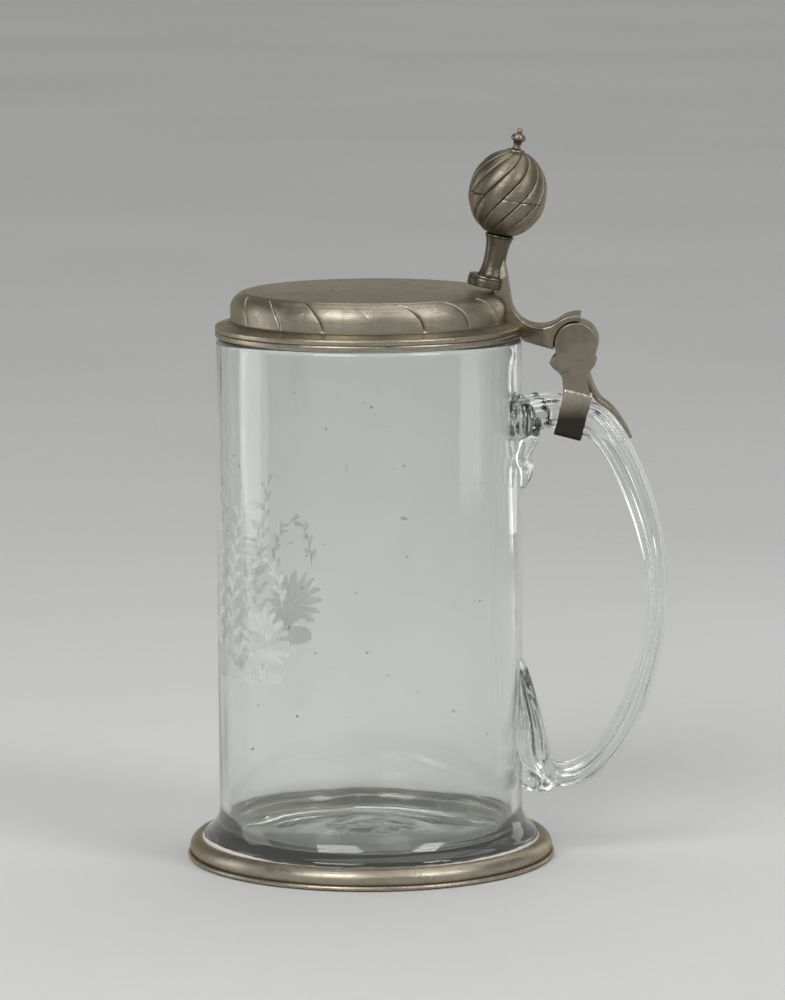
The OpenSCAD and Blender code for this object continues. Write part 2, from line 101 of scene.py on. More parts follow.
def sharpness(p, ring):
    """How far each grid point is on an edge or in a hollow: the curvature towards the normal along rows and
    columns, in 1/mm, taken as positive where the surface stands out and negative where it dips."""
    ahead, behind = np.roll(p, -1, 0), np.roll(p, 1, 0)
    if not ring:
        ahead[-1], behind[0] = 2 * p[-1] - p[-2], 2 * p[0] - p[1]
    right, left = np.roll(p, -1, 1), np.roll(p, 1, 1)
    normal = np.cross(right - left, ahead - behind)
    normal *= np.sign((normal * (p - p.mean((0, 1)))).sum()) / length_of(normal)
    bend = 0
    for one, other in ((ahead, behind), (right, left)):
        a, b = one - p, p - other
        bend = bend + 2 * (a / length_of(a) - b / length_of(b)) / (length_of(a) + length_of(b))
    return -(bend * normal).sum(-1)


crease_angle = 55


def closed(mesh):
    """Closes a mesh's seams and poles, turns its faces outwards and shades it smooth up to the crease."""
    shape = bmesh.new()
    shape.from_mesh(mesh)
    bmesh.ops.remove_doubles(shape, verts=shape.verts, dist=1e-7)
    bmesh.ops.dissolve_degenerate(shape, edges=shape.edges, dist=1e-8)
    bmesh.ops.recalc_face_normals(shape, faces=shape.faces)
    shape.to_mesh(mesh)
    shape.free()
    mesh.polygons.foreach_set("use_smooth", np.ones(len(mesh.polygons), bool))
    mesh.set_sharp_from_angle(angle=np.radians(crease_angle))
    return mesh


def gridded(name, grids, caps=True):
    """One mesh from grids of points in millimetres. A grid is (points, ring): its columns always close up.
    Its rows close up too if ring is true, and otherwise its first and last row are capped with one face each.
    Point attributes: edge, the sharpness of the surface, and along, the running length of the rows."""
    places, faces, edges, runs, start = [], [], [], [], 0
    for p, ring in grids:
        rows, cols = p.shape[:2]
        i = np.arange(rows if ring else rows - 1)[:, None]
        k = np.arange(cols)[None, :]
        j, m = (i + 1) % rows, (k + 1) % cols
        corners = (i * cols + k, i * cols + m, j * cols + m, j * cols + k)
        quads = np.stack(np.broadcast_arrays(*corners), axis=-1)
        faces += (start + quads.reshape(-1, 4)).tolist()
        if caps and not ring:
            faces += [list(range(start + cols - 1, start - 1, -1))]
            faces += [list(range(start + (rows - 1) * cols, start + rows * cols))]
        step = np.linalg.norm(np.diff(p, axis=0), axis=-1).mean(1)
        places.append(p.reshape(-1, 3))
        edges.append(sharpness(p, ring).ravel())
        runs.append(np.repeat(np.append(0, np.cumsum(step)), cols))
        start += rows * cols
    mesh = bpy.data.meshes.new(name)
    mesh.from_pydata((np.concatenate(places) * MM).tolist(), [], faces)
    for label, values in (("edge", edges), ("along", runs)):
        layer = mesh.attributes.new(label, "FLOAT", "POINT")
        layer.data.foreach_set("value", np.concatenate(values).astype(np.float32))
    return closed(mesh)


def placed(name, data):
    """A new object with a mesh, a lamp or a camera as its data, linked to the scene."""
    thing = bpy.data.objects.new(name, data)
    bpy.context.scene.collection.objects.link(thing)
    return thing


def finished(name, mesh, material, body, nodes):
    """Hands a mesh over as a piece of that body, with its material and the nodes it replaces."""
    mesh.materials.append(material)
    piece = placed(name, mesh)
    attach(piece, body)
    if nodes:
        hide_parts(*nodes)


def made(name, grids, material, body, nodes=(), caps=True):
    """A piece whose mesh comes from grids."""
    finished(name, gridded(name, grids, caps), material, body, nodes)


class Finish:
    """A material's node tree, with short calls for the nodes that the finishes here use."""

    def __init__(self, name):
        self.material = bpy.data.materials.new(name)
        self.material.use_nodes = True
        self.tree = self.material.node_tree
        self.shader = self.tree.nodes["Principled BSDF"]
        self.place = self.node("ShaderNodeTexCoord").outputs["Object"]

    def node(self, kind, **inputs):
        """A new node of that kind, with some of its inputs set or linked."""
        made_node = self.tree.nodes.new(kind)
        for label, value in inputs.items():
            self.put(made_node.inputs[label], value)
        return made_node

    def put(self, socket, value):
        """Links a socket to another one, or gives it a plain value."""
        if isinstance(value, bpy.types.NodeSocket):
            self.tree.links.new(value, socket)
        else:
            socket.default_value = value

    def set(self, **inputs):
        """Inputs of the main shader; an underscore stands for a space in a label."""
        for label, value in inputs.items():
            self.put(self.shader.inputs[label.replace("_", " ")], value)

    def attribute(self, label):
        """A point attribute of the mesh."""
        found = self.node("ShaderNodeAttribute")
        found.attribute_name = label
        return found.outputs["Fac"]

    def math(self, operation, *values):
        """One step of arithmetic."""
        made_node = self.node("ShaderNodeMath")
        made_node.operation = operation
        for socket, value in zip(made_node.inputs, values):
            self.put(socket, value)
        return made_node.outputs[0]

    def stretched(self, scale):
        """The place on the piece times a scale for each axis."""
        return self.node("ShaderNodeMapping", Vector=self.place, Scale=scale).outputs[0]

    def axis(self, label):
        """One coordinate of the place on the piece, in metres."""
        return self.node("ShaderNodeSeparateXYZ", Vector=self.place).outputs[label]

    def noise(self, scale, detail=3.0, vector=None):
        """Clouds of about that many to the metre."""
        made_node = self.node("ShaderNodeTexNoise", Vector=vector or self.place, Scale=scale, Detail=detail)
        return made_node.outputs["Fac"]

    def bands(self, value, scale):
        """Noise along one running value, which gives lines across it."""
        made_node = self.node("ShaderNodeTexNoise", Scale=scale, Detail=2.0)
        made_node.noise_dimensions = "1D"
        self.put(made_node.inputs["W"], value)
        return made_node.outputs["Fac"]

    def ramp(self, value, low, high, to_low=0.0, to_high=1.0):
        """A value from low to high carried over to another range in a straight line, and held at its ends."""
        made_node = self.node("ShaderNodeMapRange", Value=value)
        for label, number in (("From Min", low), ("From Max", high), ("To Min", to_low), ("To Max", to_high)):
            made_node.inputs[label].default_value = number
        return made_node.outputs[0]

    def mixed(self, share, one, other):
        """One colour at a share of 0, the other at 1, and a mix between."""
        made_node = self.node("ShaderNodeMix")
        made_node.data_type = "RGBA"
        for label, value in (("Factor_Float", share), ("A_Color", one), ("B_Color", other)):
            socket = next(s for s in made_node.inputs if s.identifier == label)
            self.put(socket, (*value, 1.0) if isinstance(value, tuple) else value)
        return next(s for s in made_node.outputs if s.identifier == "Result_Color")

    def bump(self, height, distance, normal=None):
        """The normal, bent by the slope of a height times a distance in metres."""
        made_node = self.node("ShaderNodeBump", Height=height, Distance=distance)
        if normal is not None:
            self.put(made_node.inputs["Normal"], normal)
        return made_node.outputs[0]


def shade(tone, share):
    """A colour times a share, one for all channels or one for each, and held at white."""
    return tuple(np.minimum(1.0, np.array(tone) * share).tolist())


tarnish_shade, grain_shade, worn_shade, painted_shade_share = (0.38, 0.33, 0.27), 0.78, 1.42, 0.09
pewter_glint = (0.84, 0.77, 0.64, 1.0)


def pewter(name, tone, tarnish, lines, painted_shade_between=None):
    """Satin pewter. The colour runs from tarnish in hollows and clouds to bright metal on worn edges; fine
    tool lines follow the running length of the piece, and small pits and scratches break the shine. Between
    two heights in millimetres, if they are given, painted shade darkens it downwards."""
    f = Finish(name)
    edge = f.attribute("edge")
    clouds = f.noise(70.0, 5.0)
    grain = f.noise(1500.0, 4.0)
    worn = f.math("MULTIPLY", f.ramp(edge, 0.4, 3.0), f.ramp(f.noise(420.0, 3.0), 0.3, 0.6))
    hollow = f.ramp(edge, -0.15, -1.2)
    dirt = f.math("MAXIMUM", hollow, f.ramp(clouds, 0.50, 0.78, 0.0, tarnish))
    dirt = f.math("MAXIMUM", dirt, f.ramp(f.noise(310.0, 4.0), 0.52, 0.72, 0.0, 0.7 * tarnish))
    pits = f.node("ShaderNodeTexVoronoi", Vector=f.place, Scale=330.0).outputs["Distance"]
    pits = f.math("MULTIPLY", f.ramp(pits, 0.16, 0.06), f.ramp(f.noise(180.0, 2.0), 0.50, 0.62))
    dirt = f.math("MAXIMUM", dirt, pits)
    colour = f.mixed(f.ramp(grain, 0.3, 0.7, 0.0, 0.35), tone, shade(tone, grain_shade))
    colour = f.mixed(worn, colour, shade(tone, worn_shade))
    colour = f.mixed(f.math("MULTIPLY", dirt, 0.92), colour, shade(tone, tarnish_shade))
    # Painted shade: between the two heights the colour darkens downwards.
    if painted_shade_between:
        low, high = painted_shade_between
        height = f.math("ADD", f.axis("Z"), f.ramp(clouds, 0.3, 0.7, -MM, MM))
        colour = f.mixed(f.ramp(height, high * MM, low * MM), colour, shade(tone, painted_shade_share))
    rough = f.ramp(f.noise(260.0, 4.0), 0.3, 0.7, 0.24, 0.38)
    rough = f.math("ADD", rough, f.math("MULTIPLY", dirt, 0.22))
    rough = f.math("SUBTRACT", rough, f.math("MULTIPLY", worn, 0.08))
    normal = f.bump(f.bands(f.attribute("along"), 5.5), 0.00005 * lines)
    normal = f.bump(f.noise(900.0, 3.0, f.stretched((1.0, 0.25, 0.6))), 0.00004, normal)
    normal = f.bump(f.math("SUBTRACT", 1.0, pits), 0.00012, normal)
    f.set(Base_Color=colour, Roughness=rough, Normal=normal, Metallic=1.0, Specular_Tint=pewter_glint)
    return f.material


foot_high = span("foot_ring")[1]
glass_low, glass_high = span("glass_body")
foot_r, foot_h = foot_high[0], foot_high[2]
flare_r, heel_z, rim_z = glass_high[1], glass_low[2], glass_high[2]
flare_out = 5.0
glass_r = flare_r - flare_out
foot_bore = span("foot_plaster")[1][0]
foot_lip = 1.5
foot_ledge = (9.0, 1.2)
foot_groove = np.array([foot_r - 0.6 * foot_lip, foot_lip])
foot_profile = np.concatenate([
    [[flare_r - foot_ledge[0], 0.0], [foot_r - 1.4 * foot_lip, 0.0], [foot_r - 0.5 * foot_lip, 0.15]],
    arc((foot_r - foot_lip / 2, foot_lip / 2), foot_lip / 2, -75, 80, 18),
    [foot_groove + [0.05, -0.20], foot_groove + [-0.25, -0.20], foot_groove + [-0.35, 0.10]],
    bezier([foot_groove + [-0.35, 0.10], foot_groove + [1.15, 0.45 * (foot_h - foot_lip)],
            [foot_bore + 0.78 * (foot_groove[0] - foot_bore), foot_h + 0.25], [foot_bore + 0.5, foot_h]], 24),
    [[foot_bore + 0.15, foot_h - 0.1], [foot_bore, foot_h - 0.4], [foot_bore, foot_ledge[1]],
     [flare_r - foot_ledge[0], foot_ledge[1]], [flare_r - foot_ledge[0], 0.0]]])
foot_step, foot_sides = 0.33, 320
foot_points = turned(spaced(foot_profile, foot_step), foot_sides)
foot_turn = np.arctan2(foot_points[..., 1], foot_points[..., 0])
foot_wave = 0.06 * np.sin(3 * foot_turn + 1) + 0.05 * np.sin(7 * foot_turn)
foot_points[..., 2] += foot_wave * np.clip(foot_points[..., 2] / foot_h, 0, 1)
foot_pewter = pewter("turned_pewter_foot", tone=(0.41, 0.37, 0.295), tarnish=0.5, lines=1.0)
made("turned_foot_ring", [(foot_points[:-1], True)], foot_pewter, "vessel", ["foot_ring"])

# Plaster bed
# White plaster between the foot ring and the flared foot of the glass, pressed up as the ring was set on.
# It stands up unevenly past the ring's edge, most of all at one side of the front.
plaster_low, plaster_high = span("foot_plaster")
bed_sides = 360
# Lumps of pressed-up plaster: height in millimetres, place in degrees and spread in radians.
bed_lumps = ((0.80, 208, 0.45), (0.35, 334, 0.40))
bed_turn = 2 * np.pi * np.arange(bed_sides) / bed_sides
bed_rise = -0.05 + 0.10 * np.sin(5 * bed_turn) * np.sin(11 * bed_turn + 2)
for lump_high, lump_at, lump_wide in bed_lumps:
    bed_rise += lump_high * np.exp(-((bed_turn - np.radians(lump_at)) / lump_wide) ** 2)
bed_rise += 0.06 * np.sin(37 * bed_turn + 1.3 * np.sin(3 * bed_turn)) + 0.05 * np.sin(71 * bed_turn)
# Section of the bed: share of the way out and share of the way up.
bed_across = np.array([[0.0, 0.0], [1.0, 0.0], [1.0, 0.9], [0.85, 1.0], [0.5, 1.1], [0.15, 1.06], [0.0, 1.0]])
bed_r = flare_r + 0.02 + (plaster_high[1] - 0.03 - flare_r) * bed_across[:, :1]
bed_z = plaster_low[2] + bed_across[:, 1:] * (foot_h - 0.35 + np.maximum(bed_rise, -0.1) - plaster_low[2])
chalk = Finish("old_plaster")
chalk_spots = chalk.noise(700.0, 4.0)
chalk_white = chalk.ramp(chalk.math("ABSOLUTE", chalk.axis("X")), 0.018, 0.040)
chalk_white = chalk.math("ADD", chalk.ramp(chalk.noise(160.0, 4.0), 0.5, 0.7, 0.0, 0.5), chalk_white)
chalk_dirty, chalk_clean = (0.30, 0.255, 0.19), (0.74, 0.70, 0.61)
chalk.set(Base_Color=chalk.mixed(chalk_white, chalk_dirty, chalk_clean),
          Roughness=chalk.ramp(chalk_spots, 0.3, 0.7, 0.75, 0.95), Normal=chalk.bump(chalk_spots, 0.0003))
bed_points = around(bed_r, bed_turn, bed_z)
made("plaster_bed", [(bed_points, True)], chalk.material, "vessel", ["foot_plaster"])

# Glass body
# A cylinder of clear, faintly green-grey glass, blown by hand: its wall waves a little and bends out into a
# flared foot, and the thick base is pushed up in the middle, with a scar where the pontil rod broke away.
wall = 3.0
base_t = 5.0
kick_h, kick_r = 5.0, 43.0
heel_r, corner_r, lip_r = 3.0, 6.0, 1.5
flare_edge, flare_lift, flare_turn = 1.6, 0.3, 55.0
inner_r = glass_r - wall
floor_z = heel_z + base_t
# The wall is calm up to the first height and waves fully a second height above it; the same below the rim.
calm_low, calm_top = (18, 22), (3, 12)
base_count, rim_count, wall_count, body_sides = 44, 13, 128, 224


def base_line(z, end):
    """Base from its middle outwards: a cosine hump of the kick's height over the kick's radius, then flat."""
    r = np.linspace(0, end, base_count)
    return np.column_stack([r, z + kick_h * (0.5 + 0.5 * np.cos(np.pi * np.minimum(1, r / kick_r)))])


def calm(z):
    """Share of the wall's waves at a height: none at the heel and at the rim, all of them between."""
    from_heel, from_rim = (z - calm_low[0]) / calm_low[1], (rim_z - calm_top[0] - z) / calm_top[1]
    return np.clip(from_heel, 0, 1) * np.clip(from_rim, 0, 1)


def out_wall(turn, z):
    """Radius of the outer wall: the cylinder plus a few slow sine waves round and up the glass."""
    swell = 0.10 * np.sin(2 * turn + 0.6 + z / 60) + 0.05 * np.sin(5 * turn - z / 35)
    swell = swell + 0.005 * np.sin(z / 2.1 + 2 * np.sin(turn)) + 0.02 * np.sin(17 * turn + z / 48)
    return glass_r + calm(z) * swell


flare_mid = np.array([flare_r - flare_edge, foot_h + flare_lift])
bend_way = np.array([np.cos(np.radians(flare_turn)), np.sin(np.radians(flare_turn))])
bend_r = flare_out / (1 - bend_way[0]) - flare_edge
outside = np.concatenate([
    base_line(heel_z, flare_r - heel_r - 1), arc((flare_r - heel_r, heel_z + heel_r), heel_r, -90, 0, 9),
    arc(flare_mid, flare_edge, 0, flare_turn, 12),
    arc(flare_mid + (flare_edge + bend_r) * bend_way, bend_r, 180 + flare_turn, 180, 18)])
rim = arc((glass_r - lip_r, rim_z - lip_r), lip_r, 0, 180, rim_count)
corner = arc((inner_r - corner_r, floor_z + corner_r), corner_r, 0, -80, 10)
inside = base_line(floor_z, inner_r - corner_r - 1)[::-1]
wall_step = np.linspace(0, 1, wall_count)[1:-1, None]
outer_wall = outside[-1] + wall_step * (rim[0] - outside[-1])
inner_wall = rim[-1] + wall_step * (corner[0] - rim[-1])
body_profile = np.concatenate([outside, outer_wall, rim, inner_wall, corner, inside])
body_points = turned(body_profile, body_sides)
body_turn = 2 * np.pi * np.arange(body_sides)[None, :] / body_sides
body_z = body_points[..., 2]
body_row = np.arange(len(body_profile))[:, None]
inner_side = body_row > len(outside) + len(outer_wall) + rim_count // 2
# Slow sine waves swell the inner wall, a swirl of sines lies on the floor, and under the base the scar is a
# broken ring with a bell-shaped section.
swell_in = 0.14 * np.sin(3 * body_turn + 2.1 - body_z / 55) + 0.08 * np.sin(9 * body_turn + 1 + body_z / 30)
swell_in += 0.03 * np.sin(23 * body_turn + body_z / 70)
swell_in += 0.006 * np.sin(body_z / 1.7 + np.sin(3 * body_turn))
push = np.where(inner_side, calm(body_z) * swell_in, out_wall(body_turn, body_z) - glass_r)
body_points[..., :2] *= (1 + push / glass_r)[..., None]
body_r = body_profile[:, :1]
swirl = np.where(inner_side & (body_r < inner_r - corner_r), 1.0, 0.0)
swirl_wave = 0.07 * np.sin(2 * body_turn + body_r * 0.42) + 0.05 * np.sin(3 * body_turn - body_r * 0.75 + 1)
swirl_wave = swirl_wave * np.clip(body_r / 8, 0, 1)
swirl_wave += 0.20 * np.exp(-((body_r - 9) / 2.2) ** 2) * np.sin(3 * body_turn + 0.8)
under = np.where(body_row < base_count, 1.0, 0.0)
scar_ragged = 0.6 + 0.4 * np.sin(5 * body_turn) * np.sin(9 * body_turn + 1)
scar = 0.45 * np.exp(-((body_r - 11) / 1.6) ** 2) * scar_ragged
scar_middle = np.clip(1 - body_r / 9, 0, 1) * np.clip(body_r / 3, 0, 1)
scar = scar + 0.15 * scar_middle * np.sin(4 * body_turn + body_r)
body_points[..., 2] += swirl * swirl_wave + under * scar
glass_index, glass_density, ripple_from, body_clear = 1.5, 24.0, (0.045, 0.085), 0.96
glass_face, glass_depth = (0.985, 0.995, 0.985, 1.0), (0.73, 0.79, 0.70, 1.0)


def glass(name, ripple, clear=1.0):
    """Clear glass: light passes and bends by its index, and the body takes a little red and blue on the way.
    The share of the light that isn't clear is scattered as haze. Above the foot the surface has fine level
    ripples in patches; all over it has faint upright streaks and in places a thin film of dust."""
    f = Finish(name)
    waves = f.noise(1.0, 2.0, f.stretched((26.0, 26.0, 820.0)))
    patches = f.ramp(f.noise(34.0, 2.0), 0.50, 0.66, 0.08, 1.0)
    patches = f.math("MULTIPLY", patches, f.ramp(f.axis("Z"), *ripple_from))
    streaks = f.noise(1.0, 2.0, f.stretched((420.0, 420.0, 7.0)))
    normal = f.bump(f.math("MULTIPLY", waves, patches), 0.00008 * ripple)
    normal = f.bump(streaks, 0.00003 * ripple, normal)
    dust = f.ramp(f.noise(240.0, 5.0), 0.55, 0.80, 0.0, 0.05)
    f.set(Base_Color=glass_face, Roughness=dust, Normal=normal, IOR=glass_index, Transmission_Weight=clear)
    inner = f.node("ShaderNodeVolumeAbsorption", Color=glass_depth, Density=glass_density)
    f.tree.links.new(inner.outputs[0], f.tree.nodes["Material Output"].inputs["Volume"])
    return f.material


body_glass = glass("blown_glass", 1.0, body_clear)
made("blown_glass_body", [(body_points, False)], body_glass, "vessel", ["glass_body"], caps=False)

# Seeds
# Small bubbles that stayed in the glass as it was worked, drawn out a little along the wall.
# They lie inside the wall, and the light bends at them as from glass into air.
draw = np.random.default_rng(11)
seed_count = 240
seed_turn = draw.uniform(0, 2 * np.pi, seed_count)
seed_z = draw.uniform(22, rim_z - 8, seed_count)
seed_r = draw.uniform(inner_r + 0.8, glass_r - 0.8, seed_count)
seed_size = 0.13 + 0.32 * draw.random(seed_count) ** 5
seed_long = draw.uniform(1.0, 1.9, seed_count)
# Each seed is a unit sphere, stretched along the wall and set at its place.
bubble = turned(arc((0, 0), 1.0, -90, 90, 9), 12)
seed_mid = around(seed_r, seed_turn, seed_z)[:, None, None]
seed_out = around(1.0, seed_turn, 0.0)[:, None, None]
seed_side = around(1.0, seed_turn + np.pi / 2, 0.0)[:, None, None]
seed_across, seed_along = (s[:, None, None, None] for s in (seed_size, seed_size * seed_long))
seeds = seed_mid + seed_across * bubble[..., :1] * seed_out + seed_along * bubble[..., 1:2] * seed_side
seeds[..., 2] += seed_size[:, None, None] * bubble[..., 2]
air = Finish("air_in_glass")
air_index, air_dull = 0.6667, air.ramp(air.noise(900.0), 0.3, 0.7, 0.0, 0.03)
air.set(Base_Color=(1.0, 1.0, 1.0, 1.0), Roughness=air_dull, IOR=air_index, Transmission_Weight=1.0)
made("glass_seeds", [(p, False) for p in seeds], air.material, "vessel", caps=False)

# Pontil mark
# Rough chips in a broken ring on the pushed-up base, left where the pontil rod was cracked off the hot glass.
# They are thin, frosted and half clear, and follow the hump of the base.
chip_turn = np.array([0.2, 1.0, 1.9, 2.6, 3.5, 4.3, 5.1, 5.8])
chip_r = np.array([7.0, 9.5, 8.0, 10.5, 8.5, 9.0, 7.5, 10.0])
chip_long = np.array([3.6, 2.0, 2.8, 1.6, 3.2, 2.4, 3.0, 1.8])
chip_angle = np.linspace(0, 2 * np.pi, 24, endpoint=False)
chip_ring = np.array([0.02, 0.35, 0.7, 1.0])[:, None]
chip_narrow, chip_lift, chip_dome, chip_thick = 0.55, 0.20, 0.08, 0.06
# A chip is an ellipse whose radius is ragged by two sines, domed a little, on the cosine hump of the base.
chips = []
for turn, r, size in zip(chip_turn, chip_r, chip_long):
    ragged = 1 + 0.22 * np.sin(3 * chip_angle + 5 * turn) + 0.15 * np.sin(7 * chip_angle + r)
    x = r * np.cos(turn) + chip_ring * ragged * size * np.cos(chip_angle)
    y = r * np.sin(turn) + chip_ring * ragged * size * chip_narrow * np.sin(chip_angle)
    hump = kick_h * (0.5 + 0.5 * np.cos(np.pi * np.hypot(x, y) / kick_r))
    top = np.stack([x, y, floor_z + hump + chip_lift - chip_dome * chip_ring ** 2], axis=-1)
    chips.append((np.concatenate([top, top[-2::-1] - [0, 0, chip_thick]]), False))
frost = Finish("rough_glass")
frost_grain = frost.noise(2600.0, 2.0)
frost_white, frost_grey, frost_cover = (0.90, 0.91, 0.89), (0.74, 0.75, 0.73), 0.27
frost_tone = frost.mixed(frost.ramp(frost.noise(300.0, 3.0), 0.35, 0.65), frost_white, frost_grey)
frost.set(Base_Color=frost_tone, Roughness=frost.ramp(frost_grain, 0.3, 0.7, 0.65, 0.85),
          Normal=frost.bump(frost_grain, 0.00006), IOR=glass_index, Alpha=frost_cover)
made("pontil_chips", chips, frost.material, "vessel")

# Wheel-cut foliage
# Shallow matte cuts in the side of the glass across from the handle: palmettes, wreaths and leafy stems on
# low mounds. Each cut was ground with a small wheel, so it is a pointed oval that is deepest in its middle.
cut_height = 0.05
cut_steps = np.linspace(0, 1, 11)[:, None]
cut_across = np.array([[-1.0, 0.0], [-0.55, 0.8], [0.0, 1.0], [0.55, 0.8], [1.0, 0.0], [0.0, 0.1]])


def cut(points, width, blunt=0.7, late=1.0, mirror=1):
    """One cut as a thin pillow on the wall: a quadratic curve by its start, bend and end, given as (distance
    round the glass from its side across from the handle, height), with a width that swells as a power of a
    half sine, later along the curve where late is above one. A mirror of -1 puts it on the other side."""
    a, b, c = (np.array(p, float) * [mirror, 1] for p in points)
    t = cut_steps
    spine = (1 - t) ** 2 * a + 2 * t * (1 - t) * b + t * t * c
    way = np.gradient(spine, axis=0)
    way /= length_of(way)
    half = width / 2 * np.sin(np.pi * np.clip(t ** late, 0.004, 0.996)) ** blunt
    offset = half * cut_across[:, 0]
    s = spine[:, :1] - way[:, 1:] * offset
    z = spine[:, 1:] + way[:, :1] * offset
    turn = np.pi + s / glass_r
    r = out_wall(turn, z) + cut_height * cut_across[:, 1]
    return around(r, turn, z), False


def palmette(foot, lean, leaves, size, mirror):
    """A fan of leaves from one foot: angles spread evenly about the lean, and tips that curl outwards."""
    foot, fan = np.array(foot, float), []
    for angle in np.radians(np.linspace(-76, 76, leaves) + lean):
        reach = size * (0.30 + 0.70 * np.cos(angle - np.radians(lean)))
        tip = np.array([np.sin(angle), np.cos(angle)]) * reach
        curl = np.array([np.sin(angle * 0.3), np.cos(angle * 0.3)]) * reach * 0.70
        fan.append(cut((foot, foot + curl, foot + tip), 0.115 * size, 0.55, 2.2, mirror))
    return fan


def spray(foot, tip, bow, leaves, size, mirror):
    """A bowed stem with leaves set alternately on both sides, smaller towards its tip."""
    foot, tip = np.array(foot, float), np.array(tip, float)
    way = (tip - foot) / np.linalg.norm(tip - foot)
    side = np.array([-way[1], way[0]])
    middle = (foot + tip) / 2 + bow * side
    parts = [cut((foot, middle, tip), 0.9, 0.3, mirror=mirror)]
    for k in range(leaves):
        t = 0.12 + 0.86 * k / (leaves - 1)
        at = (1 - t) ** 2 * foot + 2 * t * (1 - t) * middle + t * t * tip
        out = side * (1 if k % 2 else -1)
        leaf = size * (1 - 0.45 * t)
        ends = (at, at + leaf * (0.55 * way + 0.25 * out), at + leaf * (0.72 * way + 0.72 * out))
        parts.append(cut(ends, 2.3 * (1 - 0.35 * t), mirror=mirror))
    return parts


cuts = []
for mirror in (-1, 1):
    cuts += palmette((44.2, 68.4), 5, 13, 20.5, mirror)
    cuts += spray((37.0, 88.0), (44.0, 105.0), 5.5, 7, 5.0, mirror)
    cuts += spray((52.5, 88.0), (45.0, 105.0), -5.5, 7, 5.0, mirror)
    cuts += spray((28.0, 69.0), (33.0, 120.0), 4.0, 15, 8.0, mirror)
    cuts += spray((13.0, 66.0), (15.0, 122.0), -4.0, 15, 9.0, mirror)
    cuts += [cut(((52.5, 65.0), (44, 67.5), (34, 63.5)), 7.0, 0.4, mirror=mirror),
             cut(((33, 63.5), (20, 72.0), (3, 60)), 8.0, 0.45, mirror=mirror)]
cuts += palmette((0.0, 66.0), 0, 11, 26.0, 1)
rosette = np.array([0.0, 108.0])
for angle in np.radians(np.arange(0, 360, 45)):
    petal = np.array([np.cos(angle), np.sin(angle)])
    cuts.append(cut([rosette + petal * reach for reach in (1.0, 4.0, 7.0)], 3.0))
made("wheel_cut_foliage", cuts, frost.material, "vessel")

# Glass handle
# A strip of hot glass with lengthwise reeds, pressed on the wall at its upper root, drawn down in a bow and
# pressed on again at the foot, where its end was pulled up along the wall. A drip hangs from the upper root.
strap_low, strap_high = span("handle_strap")
strap_mid = ((strap_low + strap_high) / 2)[[0, 2]]
strap_fall, strap_len, strap_free = np.radians(14.0), 9.0, 1.0
strap_dir = np.array([np.cos(strap_fall), -np.sin(strap_fall)])
strap_up = np.array([np.sin(strap_fall), np.cos(strap_fall)])
root_z = strap_mid[1] + 0.2
strap_start = strap_mid - strap_dir * (strap_len / 2 + strap_free)
strap_end = strap_mid + strap_dir * (strap_len / 2 + strap_free)
belly = np.array([glass_r + 44.5, 88.0])
low_run = np.array([glass_r + 13, 27.0])
wall_turn = np.array([glass_r + 3, 40.0])
trail_tip = np.array([glass_r - 0.6, 63.0])
root_t, handle_t, handle_w, press_w = 11.8, 6.7, 13.4, 26.0
# Sections of the strip: place across the handle's plane, thickness and width.
root_size, strap_size = (-3.5, root_t + 1.4, press_w), (0.0, root_t, handle_w)
free_size, low_size = (0.0, handle_t, handle_w), (0.0, handle_t + 1.8, handle_w)
press_size, trail_size = (-3.0, handle_t + 3.3, 0.75 * press_w), (-3.0, 2.4, 4.0)
root_leg = [[glass_r - 5, root_z], [glass_r + 2, root_z], strap_start - 4 * strap_dir, strap_start]
strap_leg = [strap_start, strap_start + 3 * strap_dir, strap_end - 3 * strap_dir, strap_end]
upper_leg = [strap_end, strap_end + 8 * strap_dir, belly + [0, 25], belly]
lower_leg = [belly, belly - [0, 24], low_run + [18, 0], low_run]
turn_leg = [low_run, low_run - [6.5, 0], wall_turn - [0, 7], wall_turn]
trail_leg = [wall_turn, wall_turn + [0, 7], trail_tip + [1.2, -8], trail_tip]
# Legs of the strip: control points, first and last section, and the number of steps.
handle_legs = [
    (root_leg, root_size, strap_size, 30), (strap_leg, strap_size, strap_size, 20),
    (upper_leg, strap_size, free_size, 150), (lower_leg, free_size, low_size, 150),
    (turn_leg, low_size, press_size, 40), (trail_leg, press_size, trail_size, 40)]


def swept(line, sizes, sides, square, reeds=0, depth=0.0):
    """A section carried along a line in the plane of the handle. It is a superellipse, cosine and sine to the
    power square times half the thickness and width, drawn in between its reeds by 1 minus cosine."""
    way = np.gradient(line, axis=0)
    way /= length_of(way)
    a = 2 * np.pi * np.arange(sides) / sides
    place, thick, width = (sizes[:, k:k + 1] for k in range(3))
    drawn = 1 - depth / thick * (1 - np.cos(reeds * a))
    out = np.sign(np.cos(a)) * np.abs(np.cos(a)) ** square * thick / 2 * drawn
    side = place + np.sign(np.sin(a)) * np.abs(np.sin(a)) ** square * width / 2 * drawn
    return np.stack([line[:, :1] - way[:, 1:] * out, side, line[:, 1:] + way[:, :1] * out], axis=-1)


def blob(middle, radii):
    """An ellipsoid: a unit sphere of revolution stretched by three radii."""
    return turned(arc((0, 0), 1.0, -90, 90, 17), 28) * np.array(radii) + np.array(middle)


def tapered(one, other, count, lump=0.0):
    """Sizes from one section to another, with a lump in the middle of that share of the size."""
    t = np.linspace(0, 1, count)[:, None]
    sizes = np.array(one) + t * (np.array(other) - np.array(one))
    return sizes * (1 + lump * np.sin(np.pi * t) * [0, 1, 1])


